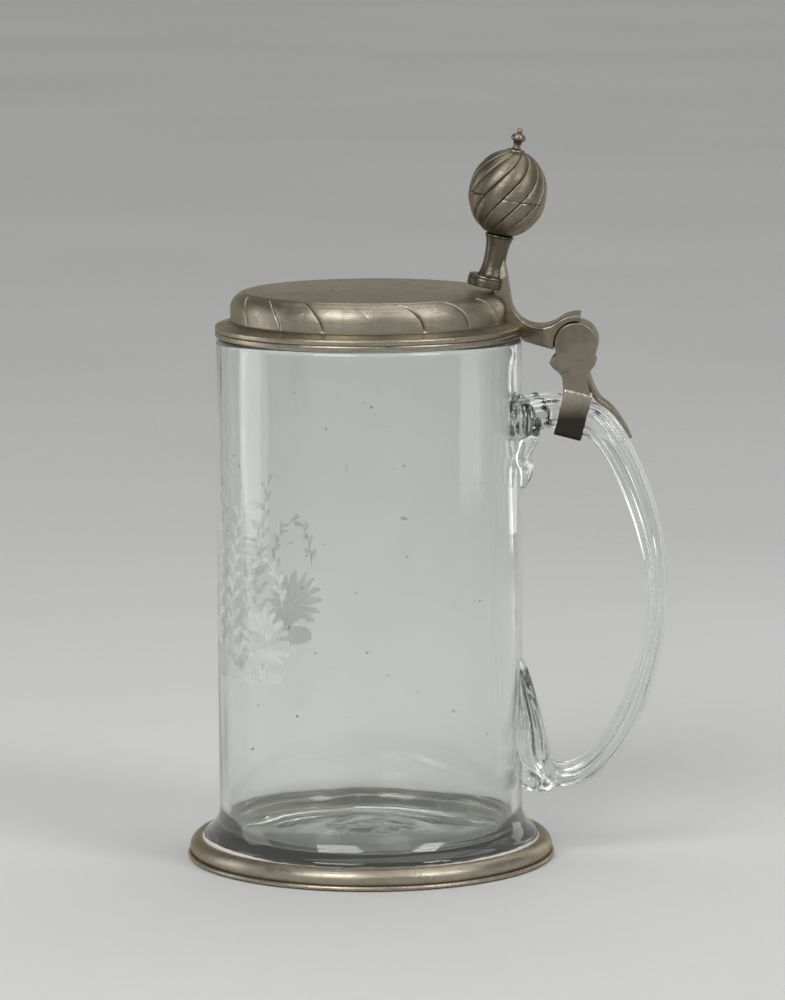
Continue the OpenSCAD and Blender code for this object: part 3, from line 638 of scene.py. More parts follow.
handle_line = np.concatenate([bezier(leg, count)[:-1] for leg, _, _, count in handle_legs])
handle_sizes = np.concatenate([tapered(one, other, count)[:-1] for _, one, other, count in handle_legs])
handle_pull = np.linspace(0, 1, len(handle_line))[:, None]
handle_sizes[:, 1:] *= 1 + 0.025 * np.sin(23 * handle_pull + [0.0, 1.3]) * np.clip(6 * handle_pull - 1, 0, 1)
drip_count, tear_count, ridge_count = 20, 16, 40
drip_line = [glass_r, root_z] + bezier([[2.6, -1], [5.0, -9], [-1.2, -12], [1.6, -15.5]], drip_count)
tear_line = [glass_r, root_z] + bezier([[1.6, -14.5], [2.6, -17], [2.0, -20], [0.6, -23]], tear_count)
ridge_line = [glass_r, 0] + bezier([[12, 27.5], [4.5, 31], [7.0, 47], [0.2, 66]], ridge_count)
drip_sides = 24
handle_sides, handle_square, handle_reeds, reed_depth = 240, 0.78, 8, 0.62
handle_drawn = swept(handle_line, handle_sizes, handle_sides, handle_square, handle_reeds, reed_depth)
handle_parts = [
    handle_drawn[:, ::3],
    swept(drip_line, tapered((-8.5, 8.0, 10.0), (-10.5, 4.6, 5.2), drip_count, -0.15), drip_sides, 1.0),
    swept(tear_line, tapered((-10.5, 4.6, 5.0), (-12.0, 1.6, 1.8), tear_count, 0.35), drip_sides, 1.0),
    swept(ridge_line, tapered((-6.0, 7.5, 7.0), (-4.5, 1.8, 2.0), ridge_count, 0.1), drip_sides, 1.0),
    blob((glass_r + 1.2, -9.5, root_z - 1.2), (3.8, 6.0, 6.2)),
    blob((glass_r + 2.0, 7.0, root_z - 0.5), (3.2, 5.0, 5.6)),
    blob((glass_r + 3.4, -8.6, 26.3), (3.4, 3.6, 3.4)),
    blob((glass_r + 7.6, -6.6, 25.2), (3.4, 3.8, 3.1))]
handle_voxel, handle_bury, handle_ripple = 0.36, 0.45, 0.06
ease_share, ease_passes = 0.5, 10
free_from, free_over, free_steps = 10, 5, 8


def shaped(piece):
    """A piece's mesh with its modifiers applied, taken over from the piece, which goes."""
    mesh = bpy.data.meshes.new_from_object(piece.evaluated_get(bpy.context.evaluated_depsgraph_get()))
    bpy.data.objects.remove(piece)
    return mesh


def places_of(mesh):
    """Vertex places of a mesh as one array."""
    places = np.empty(len(mesh.vertices) * 3, np.float32)
    mesh.vertices.foreach_get("co", places)
    return places.reshape(-1, 3)


# The parts are melted into one skin and eased, and its free length then fits the drawn reeds again.
handle_raw = placed("handle_parts", gridded("handle_parts", [(p, False) for p in handle_parts]))
union = handle_raw.modifiers.new("union", "REMESH")
union.mode, union.voxel_size = "VOXEL", handle_voxel * MM
ease = handle_raw.modifiers.new("ease", "SMOOTH")
ease.factor, ease.iterations = ease_share, ease_passes
melted = placed("melted_handle", shaped(handle_raw))
drawn = placed("drawn_handle", gridded("drawn_handle", [(handle_drawn, False)]))
off_wall = places_of(melted.data)[:, 0] / MM - glass_r
free_share = np.rint(free_steps * np.clip((off_wall - free_from) / free_over, 0, 1))
free_group = melted.vertex_groups.new(name="free_length")
for step in range(1, free_steps + 1):
    free_group.add(np.flatnonzero(free_share == step).tolist(), step / free_steps, "REPLACE")
fit = melted.modifiers.new("fit", "SHRINKWRAP")
fit.target, fit.vertex_group = drawn, "free_length"
handle_mesh = shaped(melted)
bpy.data.objects.remove(drawn)
handle_co = places_of(handle_mesh)
handle_off = np.linalg.norm(handle_co[:, :2], axis=1, keepdims=True)
handle_co[:, :2] *= np.maximum(1, (glass_r - handle_bury) * MM / handle_off)
handle_mesh.vertices.foreach_set("co", handle_co.ravel())
handle_glass = glass("drawn_glass", handle_ripple)
finished("reeded_glass_handle", closed(handle_mesh), handle_glass, "vessel", ["glass_handle"])

# Strap
# A band of thin pewter bent round the upper part of the handle and up past the foot of the bracket, and
# soldered to it. Its edges are uneven from the shears, and painted shade darkens its lower half.
strap_t, strap_gap, strap_corner, strap_rise, strap_over = 0.9, 0.25, 1.5, 2.2, 0.6
# Heights in millimetres between which painted shade darkens the strap downwards.
strap_painted_shade = (145.5, 155.0)


def rounded_loop(half_a, half_b, corner, step):
    """A closed rectangle with round corners, as even points: four quarter circles and the lines between."""
    a, b = half_a - corner, half_b - corner
    quarters = ((a, b, 0), (-a, b, 90), (-a, -b, 180), (a, -b, 270))
    line = np.concatenate([arc((x, y), corner, start, start + 90, 12) for x, y, start in quarters])
    return spaced(np.concatenate([line, line[:1]]), step)[:-1]


def outward(loop):
    """Unit normals of a closed loop that runs anticlockwise: its direction, turned right by a quarter."""
    way = np.roll(loop, -1, 0) - np.roll(loop, 1, 0)
    way /= length_of(way)
    return np.column_stack([way[:, 1], -way[:, 0]])


band_tall = (root_t + strap_rise) / 2 + strap_gap + strap_t / 2
band_wide = handle_w / 2 + strap_gap + strap_over + strap_t / 2
band_step, band_edge, edge_step = 0.4, 0.38, 0.22
# The section of the band is carried round the loop that the band makes, and its width waves a little.
band = rounded_loop(band_tall, band_wide, strap_corner, band_step) + [strap_rise / 2, 0]
band_out = outward(band)
band_cut = rounded_loop(strap_len / 2, strap_t / 2, band_edge, edge_step)
band_run = np.linspace(0, 2 * np.pi, len(band), endpoint=False)
band_wave = 1 + 0.02 * np.sin(3 * band_run) + 0.012 * np.sin(8 * band_run + 1)
band_up = band[:, 0] + band_out[:, 0] * band_cut[:, 1:]
band_y = band[:, 1] + band_out[:, 1] * band_cut[:, 1:]
band_along = band_cut[:, :1] * band_wave
strap_points = np.stack([strap_mid[0] + strap_dir[0] * band_along + strap_up[0] * band_up, band_y,
                         strap_mid[1] + strap_dir[1] * band_along + strap_up[1] * band_up], axis=-1)
strap_pewter = pewter("bent_pewter_strap", tone=(0.50, 0.452, 0.37), tarnish=0.6, lines=0.6,
                      painted_shade_between=strap_painted_shade)
made("bent_strap", [(strap_points, True)], strap_pewter, "vessel", ["handle_strap"])

# Bracket
# Cast pewter on the strap: a neck with a small thorn on each side, three round hinge leaves, and a tail that
# lies along the handle and thins to its tip. Flat faces were filed, and their edges rubbed bright.
hinge = np.array(frame["joints"][0]["pos_m"])[[0, 2]] / MM
bracket_half = span("handle_bracket")[1][1]
leaf_r, cheek_t, middle_t, leaf_gap, leaf_edge = 7.0, 2.6, 3.2, 0.15, 0.4
bracket_seat = root_t / 2 + 2 * strap_gap
left_foot = strap_mid - strap_dir * strap_len / 2 + strap_up * bracket_seat
right_foot = strap_mid + strap_dir * (strap_len / 2 + strap_gap) + strap_up * bracket_seat
left_neck = np.array([[-0.95, -0.55], [-1.27, -0.86], [-1.05, -1.14], [-0.75, -1.36], [-0.63, -1.56]])
right_neck = np.array([[0.52, -1.68], [0.64, -1.29], [0.95, -0.91], [0.80, -0.78]])
bracket_sink = 1.5
bracket_feet = [left_foot, left_foot + 0.9 * strap_dir - bracket_sink * strap_up,
                right_foot - 1.4 * strap_dir - bracket_sink * strap_up, right_foot + [0.1, 0.6]]
bracket_line = np.concatenate([arc(hinge, leaf_r, -20, 203, 90), hinge + leaf_r * left_neck, bracket_feet,
                               hinge + leaf_r * right_neck, arc(hinge, leaf_r, -20, -20, 1)])


def softened(loop, passes):
    """A closed line with its corners eased: each pass adds a quarter of each neighbour to half of a point."""
    for _ in range(passes):
        loop = 0.25 * np.roll(loop, 1, 0) + 0.5 * loop + 0.25 * np.roll(loop, -1, 0)
    return loop


def plate(line, near, far, edge, beside=0.08):
    """A flat plate between two distances across the handle's plane: its outline, drawn in by a quarter circle
    at both faces, with one more row just inside each face so that the faces stay flat."""
    loop = softened(spaced(line, 0.3)[:-1], 9)
    inward = -outward(loop)
    swing = np.radians([0, 0, 30, 60, 90])
    draw_in = edge * (1 - np.sin(swing)) + [beside, 0, 0, 0, 0]
    depth = edge * (1 - np.cos(swing))
    draw_in = np.concatenate([draw_in, draw_in[::-1]])[:, None]
    y = np.concatenate([near + depth, far - depth[::-1]])[:, None]
    x, z = (loop[:, k] + inward[:, k] * draw_in for k in (0, 1))
    return np.stack([x, y + 0 * x, z], axis=-1), False


def evenly(line, count):
    """A line as that many points at even distances."""
    line = np.asarray(line, float)
    return spaced(line, np.linalg.norm(np.diff(line, axis=0), axis=1).sum() / (count - 1))


tail_share, tail_w, tail_t = 0.31, 11.0, 0.8
tail_count, tail_lead = 34, 8
# The tail follows the middle of the handle, lifted to its back, and its first steps bend down from the hinge.
tail_run = np.linspace(0, 1, tail_count)
tail_under = bezier(upper_leg, 100)[:int(100 * tail_share) + 1]
tail_under = np.concatenate([[strap_mid + strap_dir * (strap_len / 2 - 1.5)], tail_under])
tail_line = evenly(tail_under, tail_count)
tail_way = np.gradient(tail_line, axis=0)
tail_way /= length_of(tail_way)
tail_thick = strap_t + 1.2 + tail_run * (tail_t - strap_t - 1.2)
tail_lift = (root_t + tail_share * tail_run * (handle_t - root_t)) / 2 + strap_gap + tail_thick / 2
tail_line = tail_line + np.column_stack([-tail_way[:, 1], tail_way[:, 0]]) * tail_lift[:, None]
tail_join = tail_line[tail_lead]
tail_neck = hinge + leaf_r * np.array([[0.40, -1.15], [0.50, -1.75]])
tail_bend = [*tail_neck, tail_join - 3 * tail_way[tail_lead], tail_join]
tail_line[:tail_lead + 1] = bezier(tail_bend, tail_lead + 1)
tail_width = tail_w + (tail_w / 3 - tail_w) * tail_run ** 0.9
tail_width[-3:] *= [0.92, 0.75, 0.42]
tail_sizes = np.column_stack([0 * tail_run, tail_thick, tail_width])
cheek_in = bracket_half - cheek_t
neck_line = np.concatenate([hinge + leaf_r * left_neck[1:], bracket_feet, hinge + leaf_r * right_neck[:3],
                            hinge + leaf_r * left_neck[1:2]])
bracket_pewter = pewter("cast_pewter_bracket", tone=(0.27, 0.242, 0.19), tarnish=0.9, lines=0.3)
bracket_grids = [
    plate(bracket_line, -bracket_half, -cheek_in, leaf_edge),
    plate(bracket_line, cheek_in, bracket_half, leaf_edge),
    plate(bracket_line, -middle_t / 2, middle_t / 2, 0.3),
    plate(neck_line, 0.3 - bracket_half, bracket_half - 0.3, 0.12, 0.05),
    (swept(tail_line, tail_sizes, 32, 0.5), False)]
made("cast_bracket", bracket_grids, bracket_pewter, "vessel", ["handle_bracket"])

# Hinge pin
# An iron pin driven through the five leaves from the back, where its end was hammered to a low dome.
# The lid's two leaves turn on it, between the bracket's three.
pin_low, pin_high = span("hinge_pin")
pin_r, pin_edge, pin_dome = (pin_high[0] - pin_low[0]) / 2, 0.2, 0.35
pin_front, pin_back, pin_step, pin_sides = pin_low[1], pin_high[1], 0.25, 40
pin_profile = np.concatenate([
    [[0.0, pin_front], [pin_r - pin_edge, pin_front], [pin_r, pin_front + pin_edge]],
    bezier([[pin_r, pin_back - pin_edge], [pin_r, pin_back + pin_edge], [pin_r * 0.6, pin_back + pin_dome],
            [0.0, pin_back + pin_dome]], 10)])
pin_round = turned(spaced(pin_profile, pin_step), pin_sides)
pin_x, pin_z = hinge[0] + pin_round[..., 0], hinge[1] - pin_round[..., 1]
pin_points = np.stack([pin_x, pin_round[..., 2], pin_z], axis=-1)
pin_iron = pewter("hammered_iron_pin", tone=(0.36, 0.345, 0.33), tarnish=0.8, lines=0.4)
made("iron_hinge_pin", [(pin_points, False)], pin_iron, "vessel", ["hinge_pin"], caps=False)

# Lid
# A hollow pewter lid: a band with a turned groove, a narrow ledge and a low dome with a round shoulder.
# Slanting S-shaped grooves were chased across the shoulder by hand, and one was left out at the front.
lid_low, lid_high = span("lid")
flange_r, lid_z = lid_high[0], lid_low[2]
flange_h, flange_ledge, flange_rise, dome_h = 3.6, 5.1, 1.2, 9.8
shoulder_r, crown_h, lid_wall = 6.0, 0.7, 1.6
flange_top = lid_z + flange_h
dome_r, dome_z = flange_r - flange_ledge, flange_top + flange_rise
top_z = dome_z + dome_h
shoulder_mid = np.array([dome_r - shoulder_r, top_z - shoulder_r])
crown_u = np.linspace(0, 0.96, 36)


def lid_crown(inset):
    """Top of the lid from its middle: a shallow parabola of the crown's height out to the shoulder."""
    return np.column_stack([crown_u * shoulder_mid[0], top_z - inset + crown_h * (1 - crown_u ** 2)])


band_mid = lid_z + flange_h / 2
lid_edge = np.concatenate([
    bezier([[dome_r + 0.02, dome_z + 0.75], [dome_r + 0.05, dome_z + 0.15], [dome_r + 0.2, dome_z + 0.02],
            [dome_r + 0.9, dome_z - 0.1]], 10),
    [[flange_r - 1.6, flange_top + 0.2]], arc((flange_r - 0.6, flange_top - 0.6), 0.6, 80, 0, 7),
    [[flange_r, band_mid + 0.45], [flange_r - 0.1, band_mid + 0.25], [flange_r - 0.32, band_mid],
     [flange_r - 0.1, band_mid - 0.25], [flange_r, band_mid - 0.45]],
    arc((flange_r - 0.5, lid_z + 0.5), 0.5, 0, -90, 6)])
lid_shoulder = np.concatenate([lid_crown(0)[-1:], arc(shoulder_mid, shoulder_r, 90, 0, 40)])
lid_side = [[dome_r, shoulder_mid[1]], [dome_r + 0.02, dome_z + 0.75]]
lid_outer = np.concatenate([
    lid_crown(0), spaced(lid_shoulder, 0.16)[1:], spaced(lid_side, 0.3)[1:-1], spaced(lid_edge, 0.22)])
lid_inner = np.concatenate([[[dome_r - lid_wall, lid_z]], arc(shoulder_mid, shoulder_r - lid_wall, 0, 90, 12),
                            lid_crown(lid_wall)[::-2], [[0.0, top_z + crown_h - lid_wall]]])
lid_profile = np.concatenate([lid_outer, lid_inner])
# Grooves are given as degrees from the side that the camera looks at; columns crowd towards them. A groove
# is a bell curve across, each panel between two swells as a half sine, and both slant more towards the crown.
camera_azimuth = -85.0
groove_seen = [-60, -39.3, -19, 2, 23.4, 45.2]
groove_at = np.append(groove_seen, np.linspace(groove_seen[-1], 300, 13)[1:]) + camera_azimuth
groove_faint, faint_force, groove_cols = 3, 0.06, 24
groove_force = np.ones(len(groove_at))
groove_force[groove_faint] = faint_force
fine = np.arange(groove_cols) / groove_cols
fine = fine - 0.72 * np.sin(2 * np.pi * fine) / (2 * np.pi)
gap = np.diff(groove_at)
lid_turn = (groove_at[:-1, None] + gap[:, None] * fine).ravel()
from_left = np.radians(gap[:, None] * fine) * dome_r
from_right = np.radians(gap[:, None] * (1 - fine)) * dome_r
groove_w, groove_deep, panel_swell, circle_r = 0.40, 0.44, 0.14, 40.9
circle_deep, circle_w, slant_most, lid_warp = 0.30, 0.26, 11.0, 0.09
groove = groove_force[:-1, None] * np.exp(-(from_left / groove_w) ** 2)
groove = groove + groove_force[1:, None] * np.exp(-(from_right / groove_w) ** 2)
panel = np.sin(np.pi * fine) ** 0.7 + 0 * from_left
lid_run = np.append(0, np.cumsum(np.linalg.norm(np.diff(lid_profile, axis=0), axis=1)))
crown_len = lid_run[np.argmax(lid_profile[:, 0] > circle_r)]
off_foot = np.abs(lid_profile[:, 1] - dome_z - 0.5) + 99 * (lid_profile[:, 0] < dome_r - 1)
foot_len = lid_run[np.argmin(off_foot)]
fall = np.clip((lid_run - crown_len) / (foot_len - crown_len), 0, 1)[:, None]
on_outer = (np.arange(len(lid_profile)) < len(lid_outer))[:, None]
chased = on_outer * np.clip(fall / 0.05, 0, 1) * np.clip((1 - fall) / 0.10, 0, 1)
slant = slant_most * (1 - fall) ** 1.8
lid_angle = np.radians(lid_turn - slant * on_outer)
lid_way = np.gradient(lid_profile, axis=0)
lid_way /= length_of(lid_way)
lid_in = np.column_stack([lid_way[:, 1], -lid_way[:, 0]])
swelling = panel_swell * np.sin(np.pi * fall) * panel.ravel()
dip = chased * (groove_deep * groove.ravel() - swelling)
circle = on_outer * circle_deep * np.exp(-((lid_run[:, None] - crown_len) / circle_w) ** 2)
lid_r = lid_profile[:, :1] + lid_in[:, :1] * (dip + circle)
lid_h = lid_profile[:, 1:] + lid_in[:, 1:] * (dip + circle)
warp = lid_warp * np.sin(2 * lid_angle + 0.5) * np.clip(lid_r / 40, 0, 1)
lid_h = lid_h + on_outer * warp * (lid_h > dome_z)
lid_points = around(lid_r, lid_angle, lid_h)
lid_pewter = pewter("turned_pewter_lid", tone=(0.36, 0.327, 0.26), tarnish=0.5, lines=1.0)
made("chased_lid", [(lid_points, False)], lid_pewter, "lid_assembly", ["lid"], caps=False)

# Lid arm
# The cast arm soldered to the lid: a strip up the back of the thumbpiece, a saddle, a horn over the hinge,
# and two round leaves that turn on the pin.
thumb_lean = np.radians(11.0)
thumb_foot = np.array([hinge[0] - 28.5, top_z + 1.2])
collar_t, stem_len, stem_d, stem_top_d = 3.7, 14.1, 7.2, 9.6
slot_r, horn_r, saddle_r, saddle_bend = 7.35, 9.45, 9.8, 127.6
thumb_side = np.array([np.cos(thumb_lean), -np.sin(thumb_lean)])
thumb_up = np.array([np.sin(thumb_lean), np.cos(thumb_lean)])


def by_thumb(across, along):
    """Place in the handle's plane of a point given across and along the thumbpiece's leaning axis."""
    return thumb_foot + across * thumb_side + along * thumb_up


def boxed(top, bottom, half, edge, beside=0.25):
    """A bar between two lines in the handle's plane, with that half width across it and round edges. Its
    section is four quarter circles, with a point beside each so that the sides stay flat."""
    middle, tall = (top + bottom) / 2, length_of(top - bottom) / 2
    up = (top - bottom) / (2 * tall)
    r = np.minimum(edge, 0.9 * tall)
    swing = np.radians(np.concatenate([q + np.array([0, 0, 22, 45, 68, 90, 90]) for q in (0, 90, 180, 270)]))
    corner, end = np.repeat([0, 1, 2, 3], 7), np.tile([1, 0, 0, 0, 0, 0, -1], 4)
    sign_a, sign_b = np.array([1, -1, -1, 1])[corner], np.array([1, 1, -1, -1])[corner]
    on_side = np.where(corner % 2, end, -end)
    a = sign_a * (tall - r - beside * (on_side == 1)) + r * np.cos(swing)
    b = sign_b * (half[:, None] - r - beside * (on_side == -1)) + r * np.sin(swing)
    return np.stack([middle[:, :1] + up[:, :1] * a, b, middle[:, 1:] + up[:, 1:] * a], axis=-1)


saddle = arc(hinge, saddle_r + horn_r, saddle_bend, saddle_bend, 1)[0]
strip_top, strip_foot = collar_t + 0.52 * stem_len, collar_t + 1.4
strip_count, saddle_count, horn_count = 14, 46, 26
strip_back, strip_end = by_thumb(stem_d / 2 - 0.9, strip_top), by_thumb(stem_d / 2 + 1.4, strip_foot)
strip_front, strip_base = by_thumb(0.5, strip_top - 0.6), by_thumb(0.5, 0.5)
saddle_top = np.concatenate([[strip_end], arc(saddle, saddle_r, 195, saddle_bend + 180, 40)])
saddle_under = np.concatenate([
    [strip_base, [dome_r - 0.8, dome_z], [flange_r - 1.0, lid_z + 1.0], [flange_r + 0.5, lid_z - 1.4],
     hinge - [slot_r, 1.8]], arc(hinge, slot_r, 192, 150, 10)])
arm_top = np.concatenate([
    evenly([strip_back, strip_end], strip_count)[:-1], evenly(saddle_top, saddle_count)[:-1],
    evenly(arc(hinge, horn_r, saddle_bend, 83, 20), horn_count)])
arm_bottom = np.concatenate([
    evenly([strip_front, strip_base], strip_count)[:-1], evenly(saddle_under, saddle_count)[:-1],
    evenly(arc(hinge, slot_r, 150, 84, 20), horn_count)])
# Half width of the arm at these distances from the axis of the glass.
arm_at, arm_wide = [39, 45, 50, 58.5, 70], [3.3, 3.9, 4.4, bracket_half, bracket_half]
arm_half = np.interp((arm_top + arm_bottom)[:, 0] / 2, arm_at, arm_wide)
arm_half[:strip_count] *= np.linspace(0.5, 1, strip_count)
leaf_out, leaf_in = cheek_in - leaf_gap, middle_t / 2 + leaf_gap
# The leaves are discs with a hump towards the horn.
lug_turn = np.linspace(0, 360, 121)
lug_r = leaf_r + 1.2 * np.exp(-((lug_turn - 150) / 34) ** 4)
lug_line = hinge + lug_r[:, None] * arc((0, 0), 1.0, 0, 360, len(lug_turn))
arm_pewter = pewter("cast_pewter_arm", tone=(0.28, 0.25, 0.195), tarnish=0.9, lines=0.3)
arm_edge = 0.7
arm_grids = [(boxed(arm_top, arm_bottom, arm_half, arm_edge), False),
             plate(lug_line, leaf_in, leaf_out, leaf_edge), plate(lug_line, -leaf_out, -leaf_in, leaf_edge)]
made("cast_lid_arm", arm_grids, arm_pewter, "lid_assembly", ["lid_hinge_arm"])

# Thumbpiece disc and stem
# A turned disc at the foot, set a little off the axis, and a waisted stem with a small rim under the ball.
# Both were turned from cast pewter and soldered to the arm.


def leaning(points):
    """Points about an upright axis, tipped towards the handle by the lean and moved to the thumbpiece."""
    flat = by_thumb(points[..., :1], points[..., 2:])
    return np.stack([flat[..., 0], points[..., 1], flat[..., 1]], axis=-1)


collar_r, collar_off, collar_sides, stem_sides, stem_step = 6.3, 1.2, 120, 96, 0.22
collar_profile = np.concatenate([[[0.0, 0.0]], arc((collar_r - 0.5, 0.5), 0.5, -90, 0, 6),
                                 [[collar_r, collar_t - 1.3], [collar_r - 0.16, collar_t - 1.1]],
                                 arc((collar_r - 0.6, collar_t - 0.5), 0.5, 0, 90, 6), [[0.0, collar_t]]])
collar_points = turned(spaced(collar_profile, stem_step), collar_sides) - [collar_off, 0, 0]
stem_pewter = pewter("turned_pewter_stem", tone=(0.142, 0.125, 0.096), tarnish=0.8, lines=1.2)
made("turned_thumb_disc", [(leaning(collar_points), False)], stem_pewter, "lid_assembly",
     ["thumb_collar"], caps=False)
waist, head = stem_d / 2, stem_top_d / 2
stem_profile = np.concatenate([
    [[0.0, 0.0], [waist + 1.0, 0.0], [waist + 1.1, 0.25], [waist + 1.0, 0.5]],
    bezier([[waist + 0.85, 0.6], [waist + 0.3, 0.15 * stem_len], [waist, 0.25 * stem_len],
            [waist, 0.45 * stem_len]], 16),
    bezier([[waist, 0.45 * stem_len], [waist, 0.7 * stem_len], [head - 0.8, 0.8 * stem_len],
            [head - 0.4, stem_len - 1.4]], 16)[1:],
    arc((head - 0.35, stem_len - 0.75), 0.35, -80, 80, 8),
    [[head - 0.5, stem_len - 0.3], [0.0, stem_len - 0.1]]])
stem_points = turned(spaced(stem_profile, stem_step), stem_sides) + [0, 0, collar_t]
made("turned_thumb_stem", [(leaning(stem_points), False)], stem_pewter, "lid_assembly",
     ["thumb_stem"], caps=False)

# Ball
# A hollow pewter ball in two cast halves, soldered at a seam below its middle. Twelve flat gadroons turn
# round it from pole to pole, with a cut line between each two, and the seam was filed away on some of them.
ball_r, ball_half, ball_seam, ball_wall = 12.75, 14.35, 1.3, 1.5
gadroons, gadroon_depth, gadroon_turn, gadroon_cols = 12, 0.55, 150.0, 26
filed_at, filed_wide = np.radians([camera_azimuth - 24, 15])
line_deep, line_w, seam_deep, seam_w = 0.26, 0.23, 0.30, 0.22
seat_r, finial_foot_r = stem_top_d / 2 - 0.25, 2.9
ball_seat = ball_half * np.sqrt(1 - (seat_r / ball_r) ** 2)
ball_crown = ball_half * np.sqrt(1 - (finial_foot_r / ball_r) ** 2)
ball_z = collar_t + stem_len + ball_seat
ball_fine = np.arange(gadroon_cols) / gadroon_cols
ball_fine = ball_fine - 0.75 * np.sin(2 * np.pi * ball_fine) / (2 * np.pi)
ball_across = np.tile(2 * ball_fine - 1, gadroons)
ball_turn = np.radians(360 / gadroons) * (np.arange(gadroons)[:, None] + ball_fine).ravel()


def ball_cup(pole, count):
    """Half of the ball: an ellipsoid drawn in towards each gadroon's sides by 1 minus a power of a parabola,
    a cut line there, a dip at the seam, and a plain ellipsoid of the wall's thickness less inside."""
    z = -ball_seam + (pole + ball_seam) * np.sin(np.linspace(0, np.pi / 2, count))[:, None]
    rise = np.arcsin(z / ball_half)
    wide = np.pi * ball_r * np.cos(rise) / gadroons
    lobe = gadroon_depth * (1 - (1 - ball_across ** 2) ** 0.6) + 0.10 * ball_across * (1 - ball_across ** 2)
    line = line_deep * np.exp(-((1 - np.abs(ball_across)) * wide / line_w) ** 2)
    turn = ball_turn + np.radians(gadroon_turn) / np.pi * rise
    filed = 1 - np.exp(-(np.angle(np.exp(1j * (turn - filed_at))) / filed_wide) ** 2)
    dip_in = seam_deep * filed * np.exp(-((z + ball_seam) / seam_w) ** 2)
    r = ball_r * np.cos(rise) - (lobe + line) * np.sqrt(np.cos(rise)) - dip_in
    shell = around(r, turn, z)
    inner = np.linspace(pole - np.sign(pole) * ball_wall, -ball_seam, 10)[:, None]
    inner_r_at = (ball_r - ball_wall) * np.sqrt(np.maximum(0, 1 - (inner / (ball_half - ball_wall)) ** 2))
    hollow = around(inner_r_at, turn[:1], inner)
    return leaning(np.concatenate([shell, hollow]) + [0, 0, ball_z]), True


thumb_pewter = pewter("cast_pewter_ball", tone=(0.24, 0.212, 0.162), tarnish=0.8, lines=1.2)
made("gadrooned_ball_lower_half", [ball_cup(-ball_seat, 52)], thumb_pewter, "lid_assembly",
     ["ball_lower_half"])
made("gadrooned_ball_upper_half", [ball_cup(ball_crown, 58)], thumb_pewter, "lid_assembly",
     ["ball_upper_half"])

# Finial
# A small knob on top of the ball: a round foot, a thin neck, a flattened knob and a bead.
# It was turned in one piece of pewter and soldered over the open pole of the upper half.
knob_r, knob_flat, finial_h, bead_r = 2.45, 0.62, 7.6, 0.88
finial_step, finial_sides = 0.14, 64
knob_z = finial_h - 2 * bead_r - 0.6 * knob_r
finial_profile = np.concatenate([
    [[0.0, -0.5], [finial_foot_r, -0.5], [finial_foot_r + 0.05, 0.1]],
    bezier([[finial_foot_r - 0.1, 0.45], [1.3, 0.55], [1.15, 1.2], [1.15, 2.0]], 12),
    [[1.25, knob_z - 2.0], [1.55, knob_z - 1.75], [1.3, knob_z - 1.5]],
    arc((0, 0), knob_r, -62, 62, 18) * [1, knob_flat] + [0, knob_z],
    [[0.75, knob_z + 1.55]], arc((0, finial_h - bead_r), bead_r, -35, 90, 10)])
finial_points = turned(spaced(finial_profile, finial_step), finial_sides) + [0, 0, ball_z + ball_crown]
made("turned_finial", [(leaning(finial_points), False)], thumb_pewter, "lid_assembly",
     ["finial_knob"], caps=False)

# Studio
# A pale floor, two large soft boxes in front at left and right, two low panels at the sides that draw bright
# lines on glass and metal, a wide light from the ceiling, and a grey room that is palest at the horizon.
floor_reach, floor_drop, lamp_aim = 14.0, 0.0002, np.array([0, 0, 0.11])
floor_light, floor_shade = (0.62, 0.62, 0.615), (0.59, 0.59, 0.585)
floor_steps = np.array([-1.0, 1.0]) * floor_reach
floor_mesh = bpy.data.meshes.new("floor")
floor_mesh.from_pydata([(x, y, -floor_drop) for x in floor_steps for y in floor_steps], [], [(0, 2, 3, 1)])
floor = placed("floor", floor_mesh)
paper = Finish("pale_floor")
paper_tone = paper.mixed(paper.ramp(paper.noise(2.0, 3.0), 0.35, 0.65), floor_light, floor_shade)
paper.set(Base_Color=paper_tone, Roughness=paper.ramp(paper.noise(90.0), 0.3, 0.7, 0.55, 0.7))
floor_mesh.materials.append(paper.material)


def soft_box(name, azimuth, elevation, distance, size, power):
    """A rectangular lamp at that azimuth and elevation round the tankard's middle, facing it: width and
    height in metres, power in watts."""
    lamp = bpy.data.lights.new(name, "AREA")
    lamp.shape = "RECTANGLE"
    lamp.size, lamp.size_y = size
    lamp.energy = power
    box = placed(name, lamp)
    a, e = np.radians([azimuth, elevation])
    back = np.array([np.cos(a) * np.cos(e), np.sin(a) * np.cos(e), np.sin(e)])
    across = np.array([-np.sin(a), np.cos(a), 0.0])
    place = np.eye(4)
    place[:3, 0], place[:3, 1], place[:3, 2] = across, np.cross(back, across), back
    place[:3, 3] = lamp_aim + distance * back
    box.matrix_world = Matrix(place.tolist())
    box.visible_camera = False


soft_box("left_soft_box", -113, 40, 2.2, (1.1, 1.1), 24)
soft_box("right_soft_box", -35, 38, 2.2, (0.6, 1.1), 15)
soft_box("left_panel", 178, 10, 0.6, (0.26, 0.40), 0.45)
soft_box("right_panel", 50, 10, 0.6, (0.16, 0.40), 0.22)
sky = bpy.data.lights.new("ceiling", "SUN")
sky.energy, sky.angle = 1.0, np.radians(60)
ceiling = placed("ceiling", sky)
ceiling.rotation_euler = np.radians([-18, 8, 0])

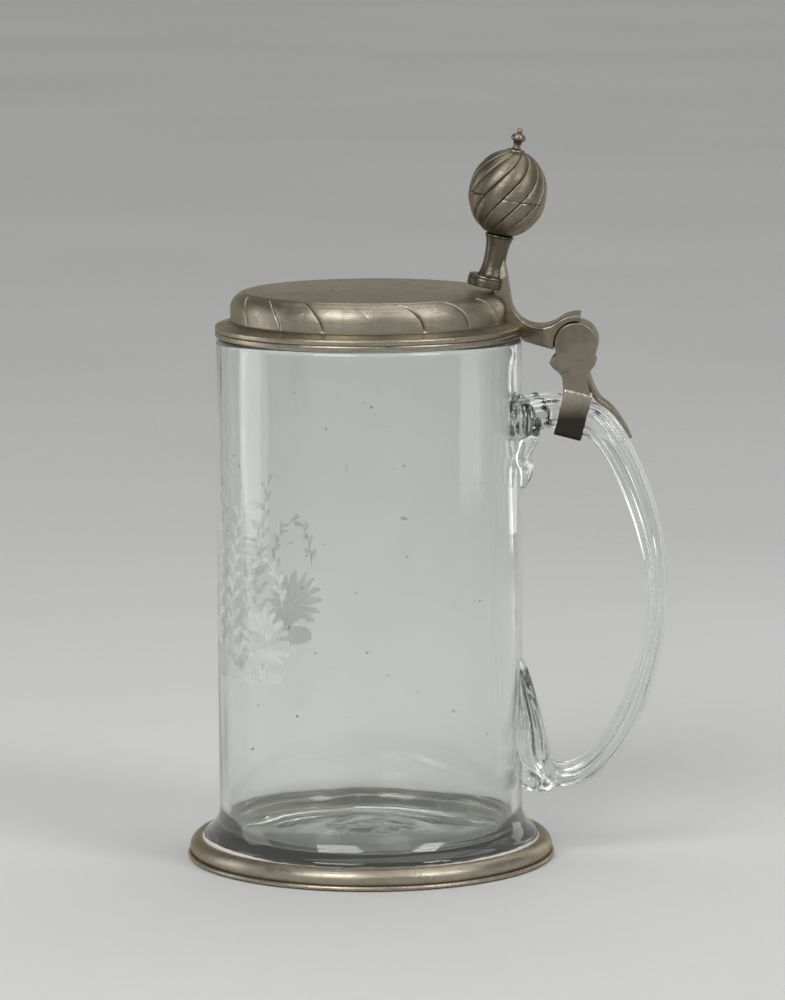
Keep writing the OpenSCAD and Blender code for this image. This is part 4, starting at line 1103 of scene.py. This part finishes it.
room = bpy.data.worlds.new("grey_room")
room.use_nodes = True
bpy.context.scene.world = room
room_nodes, room_links = room.node_tree.nodes, room.node_tree.links
room_way = room_nodes.new("ShaderNodeTexCoord")
room_split = room_nodes.new("ShaderNodeSeparateXYZ")
room_ramp = room_nodes.new("ShaderNodeValToRGB")
room_links.new(room_way.outputs["Generated"], room_split.inputs[0])
room_links.new(room_split.outputs["Z"], room_ramp.inputs[0])
room_links.new(room_ramp.outputs[0], room_nodes["Background"].inputs["Color"])
# Height of the view and grey level: palest at the horizon, dark towards the ceiling.
for stop, level in zip((0.0, 0.12, 0.45), (0.56, 0.46, 0.20)):
    mark = room_ramp.color_ramp.elements.new(stop) if stop else room_ramp.color_ramp.elements[0]
    mark.position = stop
    mark.color = (level, level, level * 0.99, 1)
room_ramp.color_ramp.elements[-1].color = (0.16, 0.16, 0.16, 1)

# Camera
# It stands at the photograph's place: distance and height in millimetres, turns in degrees, and the focal
# length in pixels of a picture 1000 pixels high.
camera_back, camera_height, camera_side = 1659.1, 356.4, 5.0
camera_pitch, camera_yaw, camera_roll = 8.183, 0.259, -0.214
focal_pixels, picture_height, sensor = 5107.7, 1000, 36.0
side, pitch, yaw, roll = np.radians([camera_side, camera_pitch, camera_yaw, camera_roll])
to_object = np.array([[np.cos(side), np.sin(side), 0], [-np.sin(side), np.cos(side), 0], [0, 0, 1]])
ahead = np.array([np.sin(yaw) * np.cos(pitch), np.cos(yaw) * np.cos(pitch), -np.sin(pitch)])
level = np.array([np.cos(yaw), -np.sin(yaw), 0])
upward = np.cross(level, ahead)
rolled = np.array([[np.cos(roll), np.sin(roll), 0], [-np.sin(roll), np.cos(roll), 0], [0, 0, 1]])
view = np.eye(4)
view[:3, :3] = (rolled @ np.array([level, upward, -ahead]) @ to_object).T
view[:3, 3] = np.array([0, -camera_back, camera_height]) @ to_object * MM
lens = bpy.data.cameras.new("camera")
lens.sensor_width = sensor
lens.lens = focal_pixels * sensor / picture_height
lens.clip_end = 100
camera = placed("camera", lens)
camera.matrix_world = Matrix(view.tolist())
bpy.context.scene.camera = camera
bpy.context.scene.view_settings.view_transform = "Standard"
